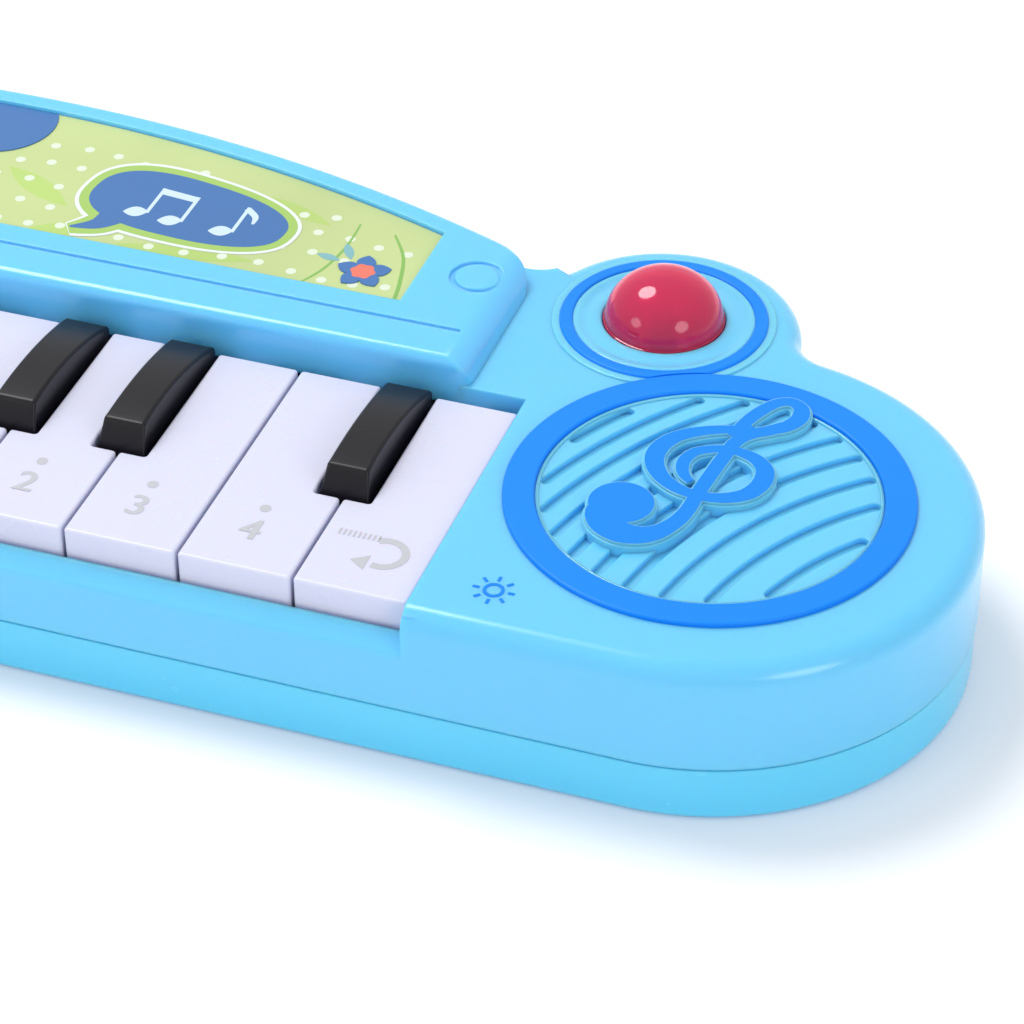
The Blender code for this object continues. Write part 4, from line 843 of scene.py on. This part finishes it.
# ---- Keys ---------------------------------------------------------------------------------------
@dataclass
class KeySet:
    """White and black keys with their printed numbers."""

    sizes: CaseSizes
    count: int = 12
    pitch: float = 20.0 * MM
    gap: float = 0.6 * MM
    length: float = 54.1 * MM
    depth: float = 7.0 * MM
    top: float = 29.6 * MM
    notch_y: float = 22.5 * MM
    notch_half: float = 5.0 * MM
    black_after: tuple[int, ...] = (1, 2, 4, 5, 6, 8, 9, 11)

    def build(self) -> None:
        """Model and dress all keys."""
        self.keys_y = self.sizes.keys_y
        self.hinge = (self.keys_y + 63.0 * MM, self.top - 5.2 * MM)
        for number in range(1, self.count + 1):
            self.white(number)
            self.mark(number)
        for number, after in enumerate(self.black_after, 1):
            self.black(number, after)

    def middle(self, number: float) -> float:
        """X of the middle of a white key."""
        return (number - (self.count + 1) / 2) * self.pitch

    def arm(self, x: float, width: float) -> bpy.types.Object:
        """Arm and boss that carry a key on its rod."""
        hinge_y, hinge_z = self.hinge
        half = 1.7 * MM
        start = self.keys_y + self.length - 1.0 * MM
        side = [(start, hinge_z - half), (hinge_y - 3.0 * MM, hinge_z - half)]
        side += arc(self.hinge, 3.4 * MM, math.radians(210), math.radians(510), 24)
        side += [(hinge_y - 3.0 * MM, hinge_z + half), (start, hinge_z + half)]
        return solid("arm", side, x - width / 2, x + width / 2, Way.ACROSS)

    def white(self, number: int) -> None:
        """One white key with rounded corners and top edges."""
        name = f"white_key_{number:02d}"
        half, back = (self.pitch - self.gap) / 2, self.keys_y + self.length
        notch_x, notch_y = self.pitch / 2 - self.notch_half, self.keys_y + self.notch_y
        right, left = [(half, back)], [(-half, back)]
        if number in self.black_after:
            right = [(half, notch_y), (notch_x, notch_y), (notch_x, back)]
        if number - 1 in self.black_after:
            left = [(-notch_x, back), (-notch_x, notch_y), (-half, notch_y)]
        corners = [(-half, self.keys_y), (half, self.keys_y)] + right + left
        x = self.middle(number)
        outline = rounded([(x + u, v) for u, v in corners], 0.6 * MM)
        key = solid(f"{name}_cap", outline, self.top - self.depth, self.top)
        round_edges(key, 0.55 * MM, 4, at_height(self.top))
        dress(combine([key, self.arm(x, 7.0 * MM)]), WHITE, name, [name])

    def black(self, number: int, after: int) -> None:
        """One black key: leaning front, crowned top and drafted sides."""
        name = f"black_key_{number:02d}"
        front, back = self.keys_y + 23.4 * MM, self.keys_y + self.length
        radius, rise = 69.0 * MM, 4.5 * MM
        crown = (self.keys_y + 33.0 * MM, self.top + rise - radius)
        face = front + 2.1 * MM
        start, stop = (math.acos((y - crown[0]) / radius) for y in (face, back))
        foot = self.top - self.depth
        line = [(back, foot), (front, foot), (front, self.top - 0.2 * MM)] + arc(crown, radius, start, stop, 20)
        x = (after - self.count / 2) * self.pitch
        key = solid(f"{name}_cap", line, -4.3 * MM, 4.3 * MM, Way.ACROSS)
        for vert in key.data.vertices:
            share = max(0.0, vert.co.z - self.top) / rise
            vert.co.x = x + math.copysign(4.3 * MM - 0.7 * MM * share, vert.co.x)
        above = self.top - 1.0 * MM
        round_edges(key, 0.6 * MM, 4, lambda a, b: a.z > above and b.z > above)
        dress(combine([key, self.arm(x, 5.0 * MM)]), BLACK, name, [name])

    def mark(self, number: int) -> None:
        """Printed number, with a dot for the upper octave, or the turn-back arrow of the last key."""
        x, y, z = self.middle(number) - 0.8 * MM, self.keys_y + 7.3 * MM, self.top + 0.01 * MM
        thick = 0.04 * MM
        if number == self.count:
            centre = (x + 2.6 * MM, y + 3.4 * MM)
            stops = [(3.6 * math.cos(math.radians(a)), 3.4 * math.sin(math.radians(a)), 1.3)
                     for a in range(120, -130, -25)]
            pieces = [solid("arrow", ribbon(stops, centre, 4), z, z + thick)]
            tip_x, tip_y = centre[0] - 1.8 * MM, centre[1] - 3.0 * MM
            pieces.append(solid("tip", [(tip_x, tip_y - 1.9 * MM), (tip_x, tip_y + 1.9 * MM),
                                        (tip_x - 2.8 * MM, tip_y)], z, z + thick * 1.1))
            for index in range(9):
                dash_x, dash_y = centre[0] - (2.2 + 0.85 * index) * MM, centre[1] + 3.4 * MM
                right, near, far = dash_x + 0.35 * MM, dash_y - 0.75 * MM, dash_y + 0.75 * MM
                dash = [(dash_x, near), (right, near), (right, far), (dash_x, far)]
                pieces.append(solid("dash", dash, z, z + thick))
            piece = combine(pieces)
        else:
            octave, pieces = 7, []
            for layer, shift in enumerate((-0.16, 0.0, 0.16)):
                deselect()
                bpy.ops.object.text_add(location=(0.0, 0.0, 0.0))
                text = bpy.context.object
                text.data.body = str((number - 1) % octave + 1)
                text.data.size = 7.4 * MM
                text.data.align_x = "CENTER"
                text.data.extrude = thick / 2
                bpy.ops.object.convert(target="MESH")
                digit = bpy.context.object
                height = z + thick / 2 + layer * 0.003 * MM
                digit.data.transform(Matrix.Translation((x + shift * MM, y, height)))
                pieces.append(outward(digit))
            if number > octave:
                pieces.append(solid("dot", circle((x + 0.1 * MM, y + 8.4 * MM), 0.95 * MM, 32), z, z + thick))
            piece = combine(pieces)
        piece.name = f"key_mark_{number:02d}"
        dress(piece, WHITE_MARK, f"white_key_{number:02d}")


# ---- Label --------------------------------------------------------------------------------------
@dataclass
class Label:
    """Printed label: ground, dots, vines, leaves, flowers and a bubble with notes, in thin layers."""

    sizes: CaseSizes
    film: float = 0.03 * MM

    def build(self) -> None:
        """Model and dress the label."""
        s = self.sizes
        low = s.console_top - 1.5 * MM + 0.05 * MM
        self.face = s.console_top - 1.5 * MM + 0.7 * MM
        sheet = solid("label_sheet", s.label_outline(0.15 * MM), low, self.face)
        dress(sheet, GROUND, replaces=["console_label"])
        self.level = 0
        self.leaves()
        self.dots()
        self.vines()
        for side in (-1, 1):
            self.bubble(side)
            self.flower((side * 82.3 * MM, 22.6 * MM), 4.9 * MM, "side" + "lr"[side > 0])
        self.medallion()

    def inside(self, outlines: Sequence[Outline], name: str, finish: Finish, clip: bool = False) -> None:
        """Print outlines as one film, one layer above the last.

        Args:
            outlines: Closed shapes in XY.
            name: Name of the piece.
            finish: Ink.
            clip: Whether shapes may run over the label's edge and are trimmed to it.
        """
        self.level += 1
        low = self.face - self.film
        high = self.face + self.level * self.film / 3
        pieces = [solid(name, outline, low, high + (index % 4) * 0.002 * MM)
                  for index, outline in enumerate(outlines)]
        piece = combine(pieces)
        piece.name = name
        if clip:
            bound = solid("bound", self.sizes.label_outline(0.4 * MM), low - 1.0 * MM, high + 1.0 * MM)
            boolean(piece, [bound], "INTERSECT")
        dress(piece, finish)

    def dots(self) -> None:
        """White dots in a loose staggered pattern."""
        front, shapes = self.sizes.well_y + 14.3 * MM, []
        for row in range(6):
            for column in range(-15, 16):
                x = (column * 6.3 + (row % 2) * 3.1 + 0.9 * math.sin(7.0 * column + 3.0 * row)) * MM
                y = front + (3.4 + row * 6.2 + 0.9 * math.cos(5.0 * column + row)) * MM
                edge = math.sqrt(max((265.0 * MM) ** 2 - x * x, 0.0)) + self.sizes.back_centre[1]
                if abs(x) < 89.5 * MM and y < edge - 1.0 * MM:
                    shapes.append(circle((x, y), 0.95 * MM, 20))
        self.inside(shapes, "label_dots", DOT)

    def leaves(self) -> None:
        """Broad pale leaves behind everything."""
        shapes = []
        for side in (-1, 1):
            for x, y, long, wide, turn in ((16.0, 30.0, 9.0, 2.4, -30), (50.0, 18.2, 13.0, 2.0, 6),
                                           (64.0, 37.5, 8.0, 1.6, -20), (28.0, 19.0, 9.0, 2.2, 20)):
                shapes.append(self.leaf((side * x * MM, y * MM), long * MM, wide * MM, math.radians(side * turn)))
        self.inside(shapes, "label_leaves", PALE_LEAF, clip=True)

    @staticmethod
    def leaf(centre: Point, long: float, wide: float, turn: float) -> Outline:
        """Pointed leaf, half as long as its full length on each side of its centre."""
        points = []
        for step in range(24):
            t = step / 12 * math.pi
            u, v = long * math.cos(t), wide * math.sin(t) * abs(math.sin(t))
            points.append((centre[0] + u * math.cos(turn) - v * math.sin(turn),
                           centre[1] + u * math.sin(turn) + v * math.cos(turn)))
        return points

    def vines(self) -> None:
        """Thin stems and small teal leaves beside the flowers."""
        stems, teal = [], []
        for side in (-1, 1):
            for stops in ([(76.4, 37.0, 0.3), (76.6, 29.3, 0.5), (75.4, 21.6, 0.5), (73.0, 16.0, 0.4)],
                          [(83.5, 35.6, 0.4), (87.4, 29.3, 0.6), (89.6, 21.6, 0.7), (90.6, 15.9, 0.7)]):
                outline = ribbon([(side * x, y, w) for x, y, w in stops], (0.0, 0.0))
                stems.append(outline)
            teal.append(self.leaf((side * 77.6 * MM, 28.0 * MM), 2.6 * MM, 0.9 * MM, math.radians(side * -60)))
            teal.append(self.leaf((side * 74.8 * MM, 25.2 * MM), 2.4 * MM, 0.9 * MM, math.radians(side * -10)))
        self.inside(stems, "label_vines", VINE, clip=True)
        self.inside(teal, "label_sprigs", TEAL)

    def flower(self, centre: Point, reach: float, name: str) -> None:
        """Five pointed blue petals round a rose middle."""
        petals = []
        for number in range(5):
            turn = math.radians(90 + 72 * number + 8)
            middle = (centre[0] + 0.58 * reach * math.cos(turn), centre[1] + 0.58 * reach * math.sin(turn))
            petals.append(self.leaf(middle, 0.46 * reach, 0.36 * reach, turn))
        self.inside(petals, f"label_petals_{name}", BLUE_INK)
        wavy = [(centre[0] + 0.44 * reach * (1 + 0.08 * math.cos(6 * a)) * math.cos(a),
                 centre[1] + 0.44 * reach * (1 + 0.08 * math.cos(6 * a)) * math.sin(a))
                for a in (2 * math.pi * step / 48 for step in range(48))]
        self.inside([wavy], f"label_bloom_{name}", ROSE_INK)

    def bubble(self, side: int) -> None:
        """Speech bubble in three nested inks, with a pair of notes in it."""
        centre = (side * 45.5 * MM, 31.2 * MM)

        def blob(grow: float) -> Outline:
            """Soft tilted rounded shape with a tail."""
            tilt = math.radians(-7 * side)
            outline = []
            for step in range(72):
                a = 2 * math.pi * step / 72
                u = (19.4 * MM + grow) * math.copysign(abs(math.cos(a)) ** 0.8, math.cos(a))
                v = (9.3 * MM + grow) * math.copysign(abs(math.sin(a)) ** 0.8, math.sin(a))
                v *= 1.0 + 0.12 * (-side * u) / (20 * MM)
                outline.append((centre[0] + u * math.cos(tilt) - v * math.sin(tilt),
                                centre[1] + u * math.sin(tilt) + v * math.cos(tilt)))
            return outline

        def tail(grow: float) -> Outline:
            """Short curved tail below the near end."""
            g = grow / MM
            stops = [(side * -12.0, -6.0, 6.0 + 2 * g), (side * -14.0, -9.6, 3.4 + 2 * g),
                     (side * -18.2, -11.9 - 0.4 * g, 0.6 + 1.6 * g)]
            return ribbon(stops, centre)

        inks = ((2.4 * MM, "edge", RIM_INK), (1.7 * MM, "band", LEAF), (0.0, "field", BLUE_INK))
        for grow, name, finish in inks:
            self.inside([blob(grow)], f"label_bubble_{name}_{'lr'[side > 0]}", finish)
            self.inside([tail(grow)], f"label_tail_{name}_{'lr'[side > 0]}", finish)
        self.notes(centre, "lr"[side > 0])

    def notes(self, centre: Point, name: str) -> None:
        """A beamed pair and a single note, in pale ink."""
        shapes = []
        for x, y in ((-9.0, -3.6), (-2.0, -4.4), (8.0, -4.6)):
            shapes.append(self.leaf((centre[0] + x * MM, centre[1] + y * MM), 2.3 * MM, 1.6 * MM, 0.3))
            stem_x, stem_y = centre[0] + (x + 1.7) * MM, centre[1] + (y + 0.2) * MM
            shapes.append([(stem_x, stem_y), (stem_x + 0.7 * MM, stem_y), (stem_x + 0.7 * MM, stem_y + 8.6 * MM),
                           (stem_x, stem_y + 8.6 * MM)])
        left, right = centre[0] - 7.3 * MM, centre[0] + 0.4 * MM
        high = centre[1] + 5.2 * MM
        shapes.append([(left, high - 1.9 * MM), (right, high - 2.7 * MM), (right, high - 0.9 * MM), (left, high)])
        flag = [(9.9, 3.6, 1.4), (12.2, 1.6, 1.2), (12.6, -0.8, 0.5)]
        shapes.append(ribbon(flag, centre))
        self.inside(shapes, f"label_notes_{name}", PALE_INK)

    def medallion(self) -> None:
        """Blue rounded hill under the back edge, and a rose swirl below it."""
        centre = (0.0, 48.5 * MM)
        hill = [(centre[0] + 10.5 * MM * math.cos(a), centre[1] + 11.0 * MM * math.sin(a))
                for a in (2 * math.pi * step / 72 for step in range(72))]
        self.inside([hill], "label_hill", BLUE_INK, clip=True)
        swirl = [((0.9 + step * 0.30) * math.cos(step * 0.62), (0.9 + step * 0.30) * math.sin(step * 0.62), 0.7)
                 for step in range(13)]
        self.inside([ribbon(swirl, (0.0, 27.5 * MM), 3)], "label_swirl", ROSE_INK)


# ---- Small marks --------------------------------------------------------------------------------
@dataclass
class LampIcon:
    """Small rayed lamp sign beside the last key, raised a hair above the case."""

    sizes: CaseSizes

    def build(self) -> None:
        """Model and dress the sign at both ends."""
        s = self.sizes
        low, high = s.height - 0.2 * MM, s.height + 0.12 * MM
        for side, name in ((-1, "left"), (1, "right")):
            centre = (side * (s.well_x + 12.0 * MM), s.keys_y + 6.4 * MM)
            section = [(1.2 * MM, low), (1.2 * MM, high), (1.75 * MM, high), (1.75 * MM, low)]
            pieces = [turned(f"lamp_sign_{name}", section, centre, 40)]
            for number in range(8):
                turn = math.pi * number / 4
                start, stop = 2.4 * MM, 3.5 * MM
                wide = 0.25 * MM
                ray = [(start, -wide), (stop, -wide), (stop, wide), (start, wide)]
                outline = [(centre[0] + u * math.cos(turn) - v * math.sin(turn),
                            centre[1] + u * math.sin(turn) + v * math.cos(turn)) for u, v in ray]
                pieces.append(solid("ray", outline, low, high))
            dress(combine(pieces), DEEP_BLUE)


# ---- Carried-over nodes and stage ---------------------------------------------------------------
NODE_FINISHES = {
    "battery_door": SKY, "key_pivot_rod": STEEL, "key_contact_board": BOARD, "contact_strip": SILICONE,
    "main_board": BOARD, "speaker_basket": STEEL, "speaker_cone": PAPER, "speaker_magnet": STEEL,
    "power_switch_body": BLACK, "power_switch_slider": BLACK, "battery_door_screw": STEEL,
    "battery_contact_left": STEEL, "battery_contact_right": STEEL,
    "lamp_led_left": LED, "lamp_led_right": LED, "lamp_board_left": BOARD, "lamp_board_right": BOARD,
}


def finish_nodes(nodes: dict[str, bpy.types.Object]) -> None:
    """Give every CAD node that stays its procedural finish.

    Args:
        nodes: Node names and their objects.
    """
    looks = dict(NODE_FINISHES)
    looks.update({f"battery_{number}": CELL for number in range(1, 4)})
    looks.update({f"battery_spring_{number}": STEEL for number in range(1, 4)})
    looks.update({f"case_screw_{number}": STEEL for number in range(1, 7)})
    for name, finish in looks.items():
        node = nodes[name]
        node.data.materials.clear()
        node.data.materials.append(finish.material())


class Stage:
    """Pale floor, soft lights and the camera."""

    def build(self) -> None:
        """Set up the stage."""
        self.floor()
        self.lights()
        self.camera()

    def floor(self) -> None:
        """Plain pale floor just under the case."""
        deselect()
        bpy.ops.mesh.primitive_plane_add(size=8.0, location=(0.0, 0.0, 0.0))
        floor = bpy.context.object
        floor.name = "floor"
        paper = bpy.data.materials.new("pale_floor")
        paper.use_nodes = True
        shader = paper.node_tree.nodes["Principled BSDF"]
        shader.inputs["Base Color"].default_value = (0.93, 0.93, 0.94, 1.0)
        shader.inputs["Roughness"].default_value = 0.9
        floor.data.materials.append(paper)

    def lights(self) -> None:
        """Bright soft surroundings, a broad top light and a weaker side light."""
        world = bpy.data.worlds.new("studio")
        bpy.context.scene.world = world
        world.use_nodes = True
        ground = world.node_tree.nodes["Background"]
        ground.inputs["Color"].default_value = (1.0, 1.0, 1.0, 1.0)
        ground.inputs["Strength"].default_value = 0.78
        for name, place, power, size in (("top_light", (-0.45, 0.25, 1.1), 8.0, 0.55),
                                         ("right_light", (1.1, -0.7, 0.55), 3.0, 0.6),
                                         ("left_light", (-0.9, -1.1, 0.6), 2.5, 0.6)):
            deselect()
            bpy.ops.object.light_add(type="AREA", location=place)
            lamp = bpy.context.object
            lamp.name = name
            lamp.data.shape = "DISK"
            lamp.data.energy = power
            lamp.data.size = size
            aim = Vector((0.05, 0.0, 0.02)) - Vector(place)
            lamp.rotation_euler = aim.to_track_quat("-Z", "Y").to_euler()

    def camera(self) -> None:
        """Camera at the reference view: near the right-hand end, looking down to the left."""
        turn, tilt, roll = math.radians(19.26), math.radians(37.40), math.radians(-0.23)
        back = Vector((math.sin(turn) * math.cos(tilt), -math.cos(turn) * math.cos(tilt), math.sin(tilt)))
        level = Vector((0.0, 0.0, 1.0)).cross(back).normalized()
        above = back.cross(level)
        right = level * math.cos(roll) + above * math.sin(roll)
        up = above * math.cos(roll) - level * math.sin(roll)
        deselect()
        bpy.ops.object.camera_add(location=(0.2798, -0.4636, 0.3823))
        camera = bpy.context.object
        place = camera.location.copy()
        turned_view = Matrix((right, up, back)).transposed().to_4x4()
        camera.matrix_world = Matrix.Translation(place) @ turned_view
        camera.data.sensor_width = 36.0
        camera.data.lens = 125.4
        camera.data.clip_start = 0.01
        bpy.context.scene.camera = camera
        bpy.context.scene.view_settings.view_transform = "Standard"


def main() -> None:
    """Build every piece round the loaded frame."""
    logging.basicConfig(level=logging.INFO, format="%(name)s %(message)s")
    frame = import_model()
    sizes = CaseSizes()
    Stage().build()
    Shells(sizes).build()
    for side, name in ((-1, "left"), (1, "right")):
        EndTrim(sizes, side, name).build()
    KeySet(sizes).build()
    Label(sizes).build()
    LampIcon(sizes).build()
    finish_nodes(frame["nodes"])


if __name__ == "__main__":
    main()
